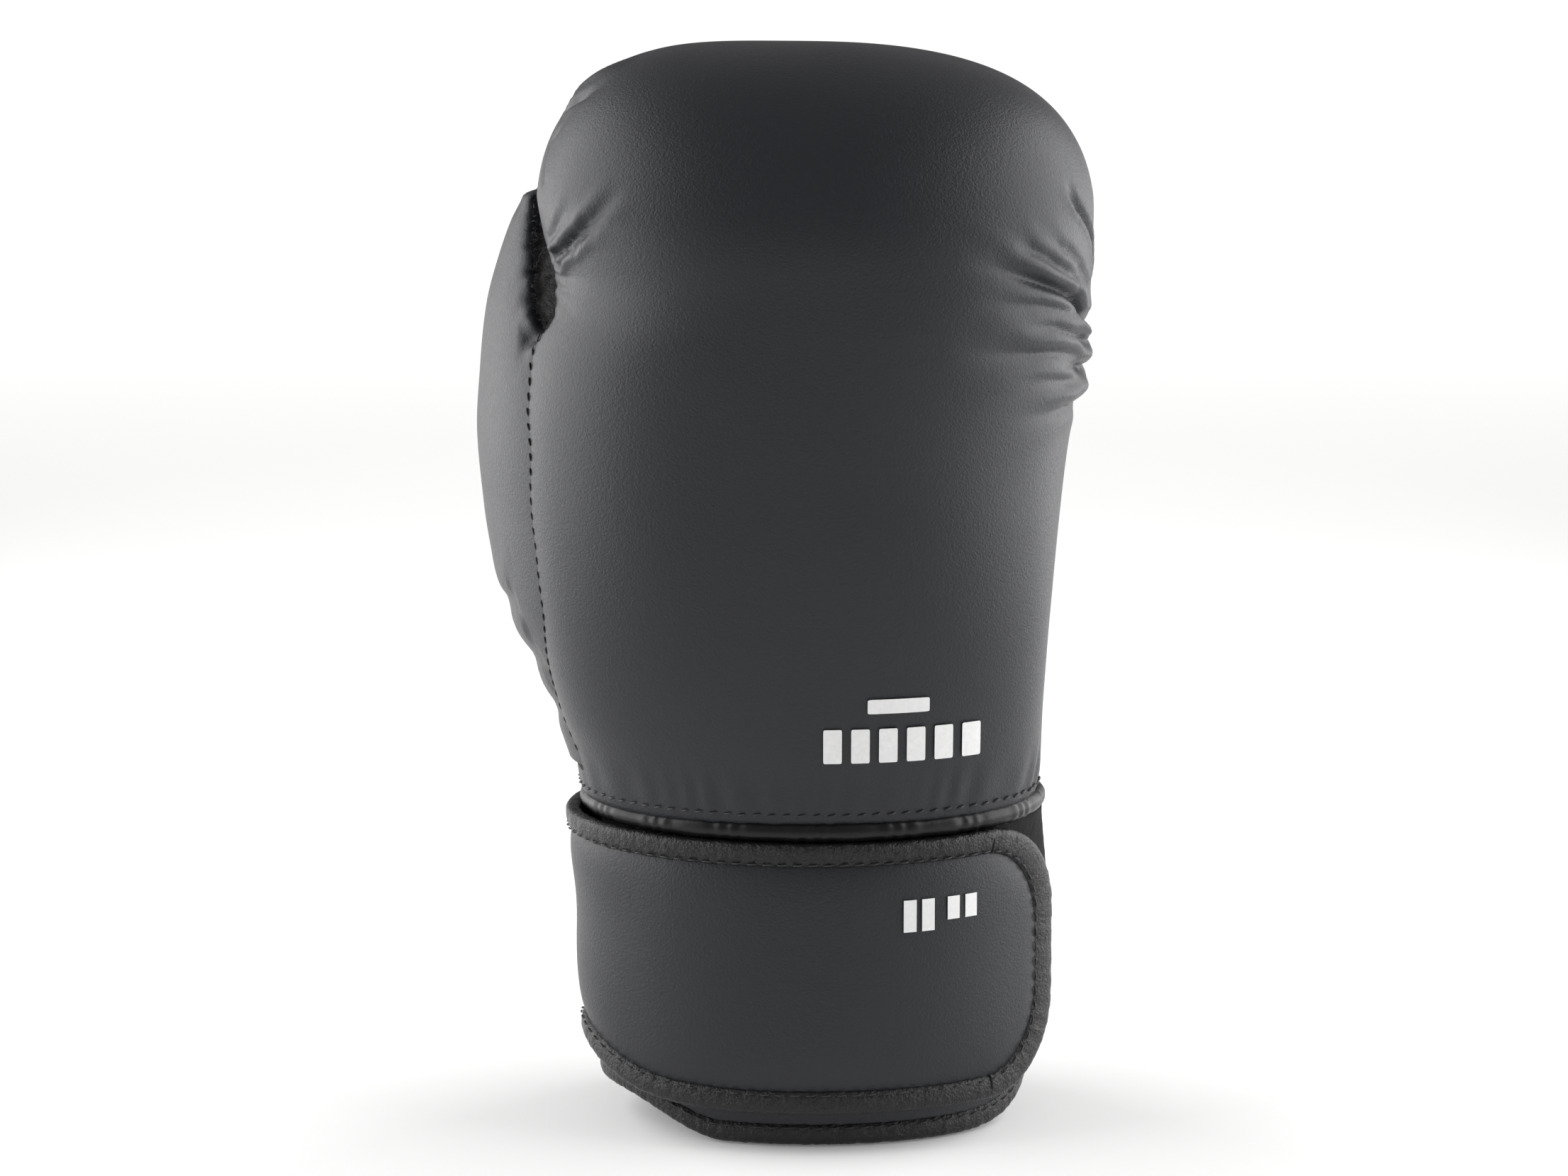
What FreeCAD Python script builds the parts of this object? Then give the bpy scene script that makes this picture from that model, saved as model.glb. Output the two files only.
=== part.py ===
"""Right-hand boxing glove with a wrap-around hook-and-loop wrist strap, standing on its cuff.

Row frame, millimetres: +Z runs from the cuff to the knuckles, -Y faces away from the back of the
hand, +Y is the palm side and -X the thumb side.  The origin is under the middle of the glove, on
the plane that the hem stands on.

The glove is built in layers, from the outside in: leather panels, foam pads, lining, hand room.
Every layer of the hand and of the thumb is the same form drawn again with its walls moved in by a
depth, so the layers nest.  The cuff and the strap are elliptical bands, nested the same way.
"""

import FreeCAD, Part
import math
import os

import Sketcher
from FreeCAD import Vector

doc = FreeCAD.newDocument("boxing_glove")

# ---------------------------------------------------------------------------------------------
# Driving dimensions, in mm
# ---------------------------------------------------------------------------------------------

SIZES = {
    # layers of the hand and the thumb
    "panel": 1.4,  # leather and its backing
    "slack": 0.3,  # room between two layers
    "lining": 1.2,
    "pad_split_x": 10.3,
    "pad_split_y": -15.3,
    "outer_pad": 9.0,
    "valley_pad": 3.0,  # the outer foam where the thumb lies against the fist
    # cuff: an ellipse, and its layers
    "cuff_x": 7.6,
    "cuff_y": -1.0,
    "cuff_wide": 56.0,
    "cuff_deep": 38.5,
    "cuff_top": 88.4,
    "cuff_wall": 8.4,
    "skin": 1.3,
    # tape that binds the raw edges
    "tape": 0.8,
    "tape_wide": 7.0,
    # slit on the palm side of the cuff
    "slit_half": 10.0,
    "slit_top": 68.0,
    # welt round the wrist
    "welt_radius": 2.4,
    "welt_out": 2.8,
    "welt_height": 86.5,
    # hand
    "hand_low": 89.0,
    "glove_height": 286.0,
    "fist_height": 220.0,
    "crown_height": 238.0,
    "palm_plane": 6.0,
    "palm_top": 172.0,
    # finger curl and grip bar
    "curl_height": 195.0,
    "curl_y": 3.0,
    "curl_radius": 29.0,
    "bar_radius": 12.5,
    "bar_x": 12.0,
    "bar_length": 74.0,
    # thumb
    "thumb_gap": 0.5,
    "tip_gap": 4.0,
    "tip_free": 210.0,  # above this height the thumb stands off the fist
    "thumb_seam_x": -60.0,
    "thumb_seam_y": 30.0,
    # strap: distances out from the cuff
    "strap_in": 3.0,
    "strap_lined": 3.9,
    "strap_padded": 5.9,
    "strap_out": 7.0,
    "strap_ply": 0.1,  # room between the strap's plies
    "strap_low": 10.5,
    "strap_high": 83.5,
    "strap_end": 2.0,
    "strap_corner": 24.0,
    "strap_edge": 6.3,  # width of the strap's binding
    "strap_root": 46.0,
    "strap_sewn": 60.0,
    "fold": 0.3,  # room between the parts of the strap where it folds
    # hook and loop
    "loop": 1.5,
    "loop_low": 14.0,
    "loop_high": 83.0,
    "loop_end": 10.0,
    "hook_in": 1.8,
    "hook_out": 2.9,
    "hook_start": 8.0,
    "hook_edge": 10.0,
}

sheet = doc.addObject("Spreadsheet::Sheet", "Sizes")
for row, (alias, number) in enumerate(SIZES.items(), start=1):
    sheet.set(f"A{row}", alias)
    sheet.set(f"B{row}", str(number))
    sheet.setAlias(f"B{row}", alias)
doc.recompute()


def size(alias):
    """A driving dimension, read from the sheet."""
    return float(sheet.get(alias))


# ---------------------------------------------------------------------------------------------
# Document helpers
# ---------------------------------------------------------------------------------------------

subparts = []


def subpart(obj, label):
    """Names a finished piece, which is then written out under that label."""
    obj.Label = label
    subparts.append(obj)
    return obj


def boolean(kind, name, base, tools):
    """base less every tool, or what base shares with every tool, as document objects."""
    for tool in tools:
        obj = doc.addObject(f"Part::{kind}", name)
        obj.Base = base
        obj.Tool = tool
        obj.Refine = False
        base = obj
    return base


def cut(name, base, *tools):
    return boolean("Cut", name, base, tools)


def common(name, base, *tools):
    return boolean("Common", name, base, tools)


def fuse(name, *shapes):
    obj = doc.addObject("Part::MultiFuse", name)
    obj.Shapes = list(shapes)
    obj.Refine = False
    return obj


def box(name, **sides):
    """A box between the sides x0, x1, y0, y1, z0 and z1, which are expressions on the sheet."""
    obj = doc.addObject("Part::Box", name)
    for axis, length in (("x", "Length"), ("y", "Width"), ("z", "Height")):
        low = sides.get(axis + "0", "-120")
        high = sides.get(axis + "1", "120")
        obj.setExpression(length, f"({high}) - ({low})")
        obj.setExpression(f"Placement.Base.{axis}", low)
    return obj


def cuff_oval(name, out, low, high):
    """An upright prism on the cuff's outline moved out; out, low and high are expressions."""
    outline = doc.addObject("Part::Ellipse", f"{name}_outline")
    outline.setExpression("MajorRadius", f"Sizes.cuff_wide + ({out})")
    outline.setExpression("MinorRadius", f"Sizes.cuff_deep + ({out})")
    outline.setExpression("Placement.Base.x", "Sizes.cuff_x")
    outline.setExpression("Placement.Base.y", "Sizes.cuff_y")
    outline.setExpression("Placement.Base.z", low)
    prism = doc.addObject("Part::Extrusion", name)
    prism.Base = outline
    prism.DirMode = "Custom"
    prism.Dir = Vector(0, 0, 1)
    prism.Solid = True
    prism.setExpression("LengthFwd", f"({high}) - ({low})")
    return prism


def cuff_band(name, inner, outer, low, high):
    """A ring between two outlines of the cuff."""
    return cut(
        name,
        cuff_oval(f"{name}_outside", outer, low, high),
        cuff_oval(f"{name}_inside", inner, f"({low}) - 1", f"({high}) + 1"),
    )


# ---------------------------------------------------------------------------------------------
# Free forms: the hand, the thumb and the rooms inside them
# ---------------------------------------------------------------------------------------------

RING_POINTS = 20

# Height, thumb side, little-finger side, back of the hand, palm side, squareness of the section.
# The palm side is hollow at the palm and swells where the fingers curl over.
HAND_RINGS = (
    (size("hand_low"), -54.0, 67.0, -43.5, 39.0, 2.1),
    (110.0, -58.2, 68.3, -49.0, 30.5, 2.15),
    (138.0, -63.8, 70.6, -55.0, 25.0, 2.2),
    (164.0, -68.2, 73.2, -58.0, 36.0, 2.25),
    (190.0, -70.5, 78.0, -59.5, 56.0, 2.3),
    (size("fist_height"), -66.3, 81.4, -60.0, 60.0, 2.35),
    (size("crown_height"), -64.5, 81.6, -60.0, 60.0, 2.4),
)
# Above the last ring the sections shrink to a boxy dome.
DOME_SQUARENESS_X = 3.4
DOME_SQUARENESS_Y = 2.5
DOME_STEPS = (0.30, 0.55, 0.75, 0.88, 0.96, 0.995)
DOME_LEAN = -3.0  # the crown sits towards the thumb

# Height, centre, half width and half depth of the thumb, upwards.
THUMB_RINGS = (
    (97.0, -49.0, -8.0, 6.5, 15.0),
    (112.0, -50.5, -6.5, 11.0, 24.0),
    (126.0, -52.5, -5.0, 14.5, 30.0),
    (143.0, -55.5, -3.5, 17.0, 35.0),
    (162.0, -58.0, -2.0, 18.5, 37.0),
    (182.0, -59.0, -1.0, 19.0, 37.5),
    (200.0, -59.3, 0.5, 18.0, 35.0),
    (216.0, -60.5, 2.5, 15.0, 29.0),
    (229.0, -62.3, 5.0, 11.0, 20.5),
    (238.0, -64.0, 7.0, 7.0, 12.0),
    (242.5, -64.5, 7.5, 4.0, 7.0),
)
THUMB_TURN = 20.0  # degrees: the thumb's front edge leans in towards the back of the hand

# Height, centre, half width, half depth and squareness of the hand room, from the wrist upwards.
HAND_ROOM_RINGS = (
    (86.0, 7.6, -1.5, 47.0, 29.5, 2.0),
    (92.0, 8.0, -3.0, 46.0, 27.5, 2.1),
    (110.0, 8.5, -7.5, 44.0, 23.5, 2.2),
    (130.0, 9.0, -12.5, 43.0, 20.0, 2.3),
    (165.0, 10.5, -23.0, 42.0, 14.5, 2.5),
    (size("curl_height"), size("bar_x"), size("curl_y") - size("curl_radius"), 40.0, 12.5, 2.5),
)
CURL_TURN = 200.0  # degrees, from the knuckles to the finger tips

# Height, centre, half width and half depth of the thumb room, from inside the palm upwards.
THUMB_ROOM_RINGS = (
    (106.0, -22.0, -8.0, 10.0, 12.0),
    (122.0, -36.0, -5.0, 10.0, 14.0),
    (140.0, -49.5, 0.0, 10.5, 17.0),
    (162.0, -57.5, 4.0, 11.0, 18.0),
    (190.0, -60.0, 6.0, 10.5, 17.0),
    (214.0, -61.0, 6.0, 9.0, 14.0),
    (228.0, -62.6, 6.5, 5.0, 8.5),
)


def signed_power(value, power):
    return math.copysign(abs(value) ** power, value)


def ring(height, centre_x, centre_y, wide, deep, squareness=2.0, turn=0.0):
    """A closed section: a superellipse turned about Z, drawn as one periodic curve."""
    turned = FreeCAD.Rotation(Vector(0, 0, 1), turn)
    points = []
    for step in range(RING_POINTS):
        angle = 2 * math.pi * (step + 2.5) / RING_POINTS
        across = wide * signed_power(math.cos(angle), 2 / squareness)
        along = deep * signed_power(math.sin(angle), 2 / squareness)
        points.append(
            Vector(centre_x, centre_y, height) + turned.multVec(Vector(across, along, 0))
        )
    curve = Part.BSplineCurve()
    curve.interpolate(points, PeriodicFlag=True)
    first, last = curve.FirstParameter, curve.LastParameter
    quarter = (last - first) / 4
    return Part.Wire([
        curve.toShape(first + quarter * number, first + quarter * (number + 1))
        for number in range(4)
    ])


def free_form(name, shape):
    """A document object that holds a shape made in code."""
    obj = doc.addObject("Part::Feature", name)
    obj.Shape = shape
    return obj


def hand_form(name, depth):
    """The outside of the hand with its walls moved in by depth.  A moved-in form starts lower, so
    that taking it away leaves the wrist open."""
    rings = []
    for height, thumb_side, finger_side, back, palm, squareness in HAND_RINGS:
        lowered = 3.0 if depth > 0 and height == size("hand_low") else 0.0
        rings.append(ring(
            height - lowered, (thumb_side + finger_side) / 2, (back + palm) / 2,
            (finger_side - thumb_side) / 2 - depth, (palm - back) / 2 - depth, squareness,
        ))
    rise = size("glove_height") - depth - height
    for step in DOME_STEPS:
        share_x = (1 - step**DOME_SQUARENESS_X) ** (1 / DOME_SQUARENESS_X)
        share_y = (1 - step**DOME_SQUARENESS_Y) ** (1 / DOME_SQUARENESS_Y)
        rings.append(ring(
            height + rise * step,
            (thumb_side + finger_side) / 2 + DOME_LEAN * step**2, (back + palm) / 2,
            ((finger_side - thumb_side) / 2 - depth) * share_x,
            ((palm - back) / 2 - depth) * share_y, squareness,
        ))
    return free_form(name, Part.makeLoft(rings, True))


def thumb_form(name, depth):
    """The outside of the thumb with its walls moved in by depth."""
    rings = [
        ring(height, x, y, wide - depth, deep - depth, turn=THUMB_TURN)
        for height, x, y, wide, deep in THUMB_RINGS
        if wide - depth > 2.0
    ]
    return free_form(name, Part.makeLoft(rings, True))


def thumb_valley(name, depth):
    """The thumb grown by a gap and a depth: it keeps further off the fist at its free tip."""
    height, x, y, wide, deep = THUMB_RINGS[0]
    grow = size("thumb_gap") + depth
    rings = [ring(height - grow, x, y, wide + grow, deep + grow, turn=THUMB_TURN)]
    for height, x, y, wide, deep in THUMB_RINGS:
        grow = depth + (size("tip_gap") if height > size("tip_free") else size("thumb_gap"))
        rings.append(ring(height, x, y, wide + grow, deep + grow, turn=THUMB_TURN))
    rings.append(
        ring(height + grow, x, y, wide + 0.7 * grow, deep + 0.7 * grow, turn=THUMB_TURN)
    )
    return free_form(name, Part.makeLoft(rings, True))


def hand_room(name, depth):
    """The room for the hand: a channel up the back of the glove that curls over the grip bar, for
    the fingers.  Its walls are moved in by depth."""
    rings = [
        ring(height, x, y, wide - depth, deep - depth, squareness)
        for height, x, y, wide, deep, squareness in HAND_ROOM_RINGS
    ]
    channel = Part.makeLoft(rings, True)
    axis = Vector(0, size("curl_y"), size("curl_height"))
    turn = CURL_TURN - math.degrees(depth / size("curl_radius"))
    curl = Part.Face(rings[-1]).revolve(axis, Vector(-1, 0, 0), turn)
    return free_form(name, channel.fuse(curl))


def thumb_room(name, depth):
    """The room for the thumb, which leaves the hand room above the wrist."""
    rings = [
        ring(height, x, y, wide - depth, deep - depth, turn=THUMB_TURN)
        for height, x, y, wide, deep in THUMB_ROOM_RINGS
    ]
    return free_form(name, Part.makeLoft(rings, True))


# ---------------------------------------------------------------------------------------------
# Hand: leather, foam, grip bar and lining
# ---------------------------------------------------------------------------------------------

panel, slack, lining = size("panel"), size("slack"), size("lining")

room = hand_room("room", 0.0)
room_clear = hand_room("room_clear", -slack)
thumb_hole = thumb_room("thumb_hole", 0.0)
thumb_hole_clear = thumb_room("thumb_hole_clear", -slack)


def hand_body(name, depth, valley_depth):
    """The hand with the valley that the thumb lies in."""
    form = hand_form(f"{name}_form", depth)
    return cut(name, form, thumb_valley(f"{name}_valley", valley_depth))


below_hand = box("below_hand", z0="0", z1="Sizes.hand_low")
palm_window = box("palm_window", y0="Sizes.palm_plane", z0="0", z1="Sizes.palm_top")
palm_window_clear = box(
    "palm_window_clear", y0="Sizes.palm_plane - Sizes.slack", z0="0",
    z1="Sizes.palm_top + Sizes.slack",
)

hand_outside = hand_body("hand_outside", 0.0, 0.0)
hand_shell = cut(
    "hand_shell", hand_outside,
    hand_body("hand_under_panel", panel, panel), room_clear, thumb_hole_clear,
)
subpart(cut("back_leather", hand_shell, palm_window_clear), "back_panel")
subpart(common("palm_leather", hand_shell, palm_window), "palm_panel")

under_panel = panel + slack
under_pad = under_panel + size("outer_pad")
under_valley_pad = under_panel + size("valley_pad")

# The grip bar is a foam roll across the palm that the fingers close on.
bar = doc.addObject("PartDesign::Body", "bar")
bar_section = bar.newObject("Sketcher::SketchObject", "bar_section")
side_plane = next(f for f in bar.Origin.OriginFeatures if f.Role == "YZ_Plane")
bar_section.AttachmentSupport = (side_plane, [""])
bar_section.MapMode = "FlatFace"
bar_section.addGeometry(
    Part.Circle(Vector(size("curl_y"), size("curl_height"), 0), Vector(0, 0, 1),
                size("bar_radius")), False,
)
CIRCLE, CENTRE, ORIGIN, ROOT_POINT = 0, 3, -1, 1
for constraint, expression in (
    (("DistanceX", ORIGIN, ROOT_POINT, CIRCLE, CENTRE, size("curl_y")), "Sizes.curl_y"),
    (("DistanceY", ORIGIN, ROOT_POINT, CIRCLE, CENTRE, size("curl_height")), "Sizes.curl_height"),
    (("Radius", CIRCLE, size("bar_radius")), "Sizes.bar_radius"),
):
    number = bar_section.addConstraint(Sketcher.Constraint(*constraint))
    bar_section.setExpression(f"Constraints[{number}]", expression)
bar_pad = bar.newObject("PartDesign::Pad", "bar_pad")
bar_pad.Profile = bar_section
bar_pad.Midplane = True
bar_pad.setExpression("Length", "Sizes.bar_length")
bar.Tip = bar_pad
bar.setExpression("Placement.Base.x", "Sizes.bar_x")
subpart(bar, "grip_bar")

outer = cut(
    "outer", hand_body("under_panel_body", under_panel, under_panel),
    hand_body("under_pad_body", under_pad, under_valley_pad),
)
subpart(
    cut("outer_pad", outer, palm_window_clear, below_hand, room_clear, thumb_hole_clear),
    "outer_foam",
)
inner = cut(
    "inner", hand_body("inner_body", under_pad + slack, under_valley_pad + slack),
    palm_window_clear, below_hand, room_clear, thumb_hole_clear,
)
inner_pad = cut("inner_pad", inner, bar)
# The inner padding is four blocks that meet behind the knuckles and along the middle finger.
knuckle_side = box("knuckle_side", y1="Sizes.pad_split_y", z0="0", z1="Sizes.glove_height")
thumb_half = box("thumb_half", x1="Sizes.pad_split_x", z0="0", z1="Sizes.glove_height")
knuckle_pad = common("knuckle_pad", inner_pad, knuckle_side)
fist_pad = cut("fist_pad", inner_pad, knuckle_side)
for pad, label in ((knuckle_pad, "knuckle_foam"), (fist_pad, "fist_foam")):
    subpart(common(f"{label}_first", pad, thumb_half), f"{label}_thumb_side")
    subpart(cut(f"{label}_second", pad, thumb_half), f"{label}_finger_side")
palm_body = common(
    "palm_body", hand_body("palm_under_panel", under_panel, under_panel), palm_window,
)
subpart(cut("palm_foam", palm_body, below_hand, room_clear, thumb_hole_clear), "palm_pad")

subpart(
    cut("room_lining", room, hand_room("room_inside", lining), below_hand, thumb_hole_clear),
    "hand_liner",
)

# ---------------------------------------------------------------------------------------------
# Thumb
# ---------------------------------------------------------------------------------------------

thumb_shell = cut(
    "thumb_shell", thumb_form("thumb_outside", 0.0), thumb_form("thumb_under_panel", panel),
    thumb_hole_clear,
)
fist_side = box(
    "fist_side", x0="Sizes.thumb_seam_x", y1="Sizes.thumb_seam_y", z0="0", z1="Sizes.glove_height"
)
subpart(cut("thumb_leather", thumb_shell, fist_side), "thumb_outer_panel")
thumb_fleece = common("thumb_fleece", thumb_shell, fist_side)
subpart(cut("thumb_fleece_clear", thumb_fleece, hand_outside), "thumb_inner_panel")
subpart(
    cut("thumb_pad", thumb_form("thumb_pad_outside", under_panel), thumb_hole_clear),
    "thumb_foam",
)
subpart(
    cut("thumb_lining", thumb_hole, thumb_room("thumb_hole_inside", lining), room_clear),
    "thumb_liner",
)

# ---------------------------------------------------------------------------------------------
# Cuff: leather, foam and lining, with a bound slit on the palm side
# ---------------------------------------------------------------------------------------------


def slit(name, grow, low):
    """The slit's opening, wider and higher by grow."""
    return box(
        name, x0=f"Sizes.cuff_x - Sizes.slit_half - ({grow})",
        x1=f"Sizes.cuff_x + Sizes.slit_half + ({grow})",
        y0="Sizes.cuff_y", z0=low, z1=f"Sizes.slit_top + ({grow})",
    )


slit_hole = slit("slit_hole", "0", "-1")
slit_raw = slit("slit_raw", "Sizes.tape + Sizes.slack", "-1")
raw_edge = "Sizes.tape + Sizes.slack"

CUFF_LAYERS = (
    ("cuff_leather", "-Sizes.skin", "0"),
    ("cuff_foam", "Sizes.lining + Sizes.slack - Sizes.cuff_wall", "-Sizes.skin - Sizes.slack"),
    ("cuff_lining", "-Sizes.cuff_wall", "Sizes.lining - Sizes.cuff_wall"),
)
for label, inner_side, outer_side in CUFF_LAYERS:
    layer = cuff_band(f"{label}_band", inner_side, outer_side, raw_edge, "Sizes.cuff_top")
    subpart(cut(f"{label}_slit", layer, slit_raw), label)

# Both tapes wrap an edge: a band as thick as the wall and twice the tape, less the wall's place.
tape_inner = "-Sizes.cuff_wall - Sizes.tape"
hem = cuff_band("hem_band", tape_inner, "Sizes.tape", "0", "Sizes.tape_wide")
wall_place = cuff_band(
    "wall_place", "-Sizes.cuff_wall - 0.1", "0.1", "Sizes.tape", "Sizes.cuff_top",
)
subpart(cut("hem_tape", hem, wall_place, slit_hole), "hem_binding")

slit_frame = common(
    "slit_frame",
    cuff_band(
        "slit_band", tape_inner, "Sizes.tape", "Sizes.tape_wide + Sizes.slack",
        "Sizes.cuff_top - 2",
    ),
    slit("slit_reach", "Sizes.tape_wide", "0"),
)
slit_wall_place = cut("slit_wall_place", wall_place, slit("slit_taped", "Sizes.tape", "-1"))
subpart(cut("slit_tape", slit_frame, slit_hole, slit_wall_place), "slit_binding")

# The welt is a padded roll sewn between the hand and the cuff.
welt_path = Part.Ellipse(
    Vector(size("cuff_x"), size("cuff_y"), size("welt_height")),
    size("cuff_wide") + size("welt_out"), size("cuff_deep") + size("welt_out"),
).toShape()
welt_start = Vector(
    size("cuff_x") + size("cuff_wide") + size("welt_out"), size("cuff_y"), size("welt_height"),
)
welt_section = Part.Wire(Part.makeCircle(size("welt_radius"), welt_start, Vector(0, 1, 0)))
welt = Part.Wire(welt_path).makePipeShell([welt_section], True, True)
subpart(free_form("welt", welt), "wrist_welt")

# ---------------------------------------------------------------------------------------------
# Hook and loop, and the strap in three parts: sewn end, palm side, back of the hand
# ---------------------------------------------------------------------------------------------

loop_band = cuff_band("loop_band", "0.1", "Sizes.loop", "Sizes.loop_low", "Sizes.loop_high")
loop_zone = fuse(
    "loop_zone",
    box("loop_back", x0="Sizes.cuff_x - 50", y1="Sizes.cuff_y"),
    box("loop_side", x0="Sizes.cuff_x + 20", y1="Sizes.loop_end"),
)
subpart(common("loop_tape", loop_band, loop_zone), "loop_pad")


def strap_end_zone(name, inset):
    """The free end's outline, seen from the side, with two round corners: drawn along X."""
    low, high = f"Sizes.strap_low + ({inset})", f"Sizes.strap_high - ({inset})"
    end = f"Sizes.strap_end - ({inset})"
    corner = f"(Sizes.strap_corner - ({inset}))"
    parts = [
        box(f"{name}_flat", x0="20", y1=f"{end} - {corner}", z0=low, z1=high),
        box(
            f"{name}_tip", x0="20", y1=end, z0=f"{low} + {corner}", z1=f"{high} - {corner}",
        ),
    ]
    for corner_name, height in (("low", f"{low} + {corner}"), ("high", f"{high} - {corner}")):
        round_corner = doc.addObject("Part::Cylinder", f"{name}_{corner_name}")
        round_corner.Placement.Rotation = FreeCAD.Rotation(Vector(0, 1, 0), 90)
        round_corner.setExpression("Radius", corner)
        round_corner.Height = 100
        round_corner.setExpression("Placement.Base.x", "20")
        round_corner.setExpression("Placement.Base.y", f"{end} - {corner}")
        round_corner.setExpression("Placement.Base.z", height)
        parts.append(round_corner)
    return parts


def strap_back_zone(name, inset):
    """All of the strap on the back of the hand, from the fold at the thumb side to the free end."""
    thumb_side = box(
        f"{name}_thumb_side", x1="20", y1="Sizes.cuff_y - Sizes.fold / 2",
        z0=f"Sizes.strap_low + ({inset})", z1=f"Sizes.strap_high - ({inset})",
    )
    return fuse(name, thumb_side, *strap_end_zone(f"{name}_end", inset))


def strap_palm_zone(name, inset):
    """All of the strap on the palm side, from the sewn end to the fold at the thumb side."""
    return box(
        name, x1="Sizes.strap_root - Sizes.fold / 2", y0="Sizes.cuff_y + Sizes.fold / 2",
        z0=f"Sizes.strap_low + ({inset})", z1=f"Sizes.strap_high - ({inset})",
    )


ply = "Sizes.strap_ply"
STRAP_PLIES = (
    ("lining", "Sizes.strap_in", "Sizes.strap_lined"),
    ("pad", f"Sizes.strap_lined + {ply}", f"Sizes.strap_padded - {ply}"),
    ("face", "Sizes.strap_padded", "Sizes.strap_out"),
)
for side, zone in (("palm", strap_palm_zone), ("back", strap_back_zone)):
    whole = zone(f"strap_{side}_zone", "0")
    within_binding = zone(f"strap_{side}_bound", "Sizes.strap_edge")
    within_plies = zone(f"strap_{side}_plies", f"Sizes.strap_edge + {ply}")
    for ply_name, inner_side, outer_side in STRAP_PLIES:
        ply_band = cuff_band(
            f"strap_{side}_{ply_name}_band", inner_side, outer_side, "Sizes.strap_low",
            "Sizes.strap_high",
        )
        subpart(
            common(f"strap_{side}_{ply_name}_ply", ply_band, within_plies),
            f"strap_{side}_{ply_name}",
        )
    edge_band = cuff_band(
        f"strap_{side}_edge_band", "Sizes.strap_in", "Sizes.strap_out", "Sizes.strap_low",
        "Sizes.strap_high",
    )
    edge = common(f"strap_{side}_edge", edge_band, whole)
    subpart(cut(f"strap_{side}_tape", edge, within_binding), f"strap_{side}_binding")

anchor_band = cuff_band(
    "anchor_band", "0.1", "Sizes.strap_out", "Sizes.strap_low", "Sizes.strap_high",
)
anchor_zone = box(
    "anchor_zone", x0="Sizes.strap_root + Sizes.fold / 2", x1="Sizes.strap_sewn",
    y0="Sizes.cuff_y",
)
subpart(common("anchor", anchor_band, anchor_zone), "strap_anchor")

hook_band = cuff_band(
    "hook_band", "Sizes.hook_in", "Sizes.hook_out", "Sizes.strap_low", "Sizes.strap_high",
)
hook_zone = fuse("hook_zone", *strap_end_zone("hook_end", "Sizes.hook_edge"))
subpart(common("hook_tape", hook_band, hook_zone), "hook_pad")

# ---------------------------------------------------------------------------------------------
# Checks and export
# ---------------------------------------------------------------------------------------------

doc.recompute()
for obj in doc.Objects:
    if "Invalid" in obj.State or "Error" in obj.State:
        raise RuntimeError(f"{obj.Label}: {obj.State}")
for obj in subparts:
    if obj.Shape.isNull() or not obj.Shape.isValid():
        raise RuntimeError(f"{obj.Label}: shape is not valid")

os.makedirs("parts", exist_ok=True)
for obj in subparts:
    obj.Shape.exportStep(f"parts/{obj.Label}.step")
    bounds = obj.Shape.BoundBox
    print(
        f"{obj.Label:20s} {len(obj.Shape.Solids)} solids {obj.Shape.Volume / 1000:8.2f} cm3 "
        f"x {bounds.XMin:.1f}..{bounds.XMax:.1f} y {bounds.YMin:.1f}..{bounds.YMax:.1f} "
        f"z {bounds.ZMin:.1f}..{bounds.ZMax:.1f}"
    )
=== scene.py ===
"""Looks for a right-hand boxing glove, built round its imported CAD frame.  Metres, Z up.

The glove stands on its cuff with the back of the hand towards -Y and the thumb at -X.  Pieces come
in the order they are sewn: hand, thumb, welt, cuff, hook and loop, strap, prints, then the studio.
"""

import math

import bmesh
import bpy
import numpy as np
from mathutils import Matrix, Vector


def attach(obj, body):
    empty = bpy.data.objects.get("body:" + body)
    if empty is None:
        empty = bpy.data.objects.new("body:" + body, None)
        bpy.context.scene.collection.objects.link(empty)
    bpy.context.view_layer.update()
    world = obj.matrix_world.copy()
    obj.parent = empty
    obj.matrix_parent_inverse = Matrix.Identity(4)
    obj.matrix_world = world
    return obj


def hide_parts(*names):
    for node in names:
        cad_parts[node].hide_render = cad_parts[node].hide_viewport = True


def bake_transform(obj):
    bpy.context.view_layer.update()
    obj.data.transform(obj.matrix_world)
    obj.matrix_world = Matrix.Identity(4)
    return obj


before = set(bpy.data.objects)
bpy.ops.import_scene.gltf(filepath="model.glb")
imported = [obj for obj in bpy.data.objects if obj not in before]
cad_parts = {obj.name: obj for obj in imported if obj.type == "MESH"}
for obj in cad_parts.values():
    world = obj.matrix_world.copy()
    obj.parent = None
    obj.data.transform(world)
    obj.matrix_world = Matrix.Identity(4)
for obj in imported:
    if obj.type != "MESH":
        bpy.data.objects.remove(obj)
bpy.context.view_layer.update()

# =============================================================================================
# Back panel.  One moulded piece of matte coated leather over the back of the hand, the knuckles
# and the curled fingers.  It is stretched over foam, turned in at the thumb valley and gathered
# into the welt; the leather folds where it is pulled round the little-finger side.
# =============================================================================================

MM = 0.001

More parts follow.
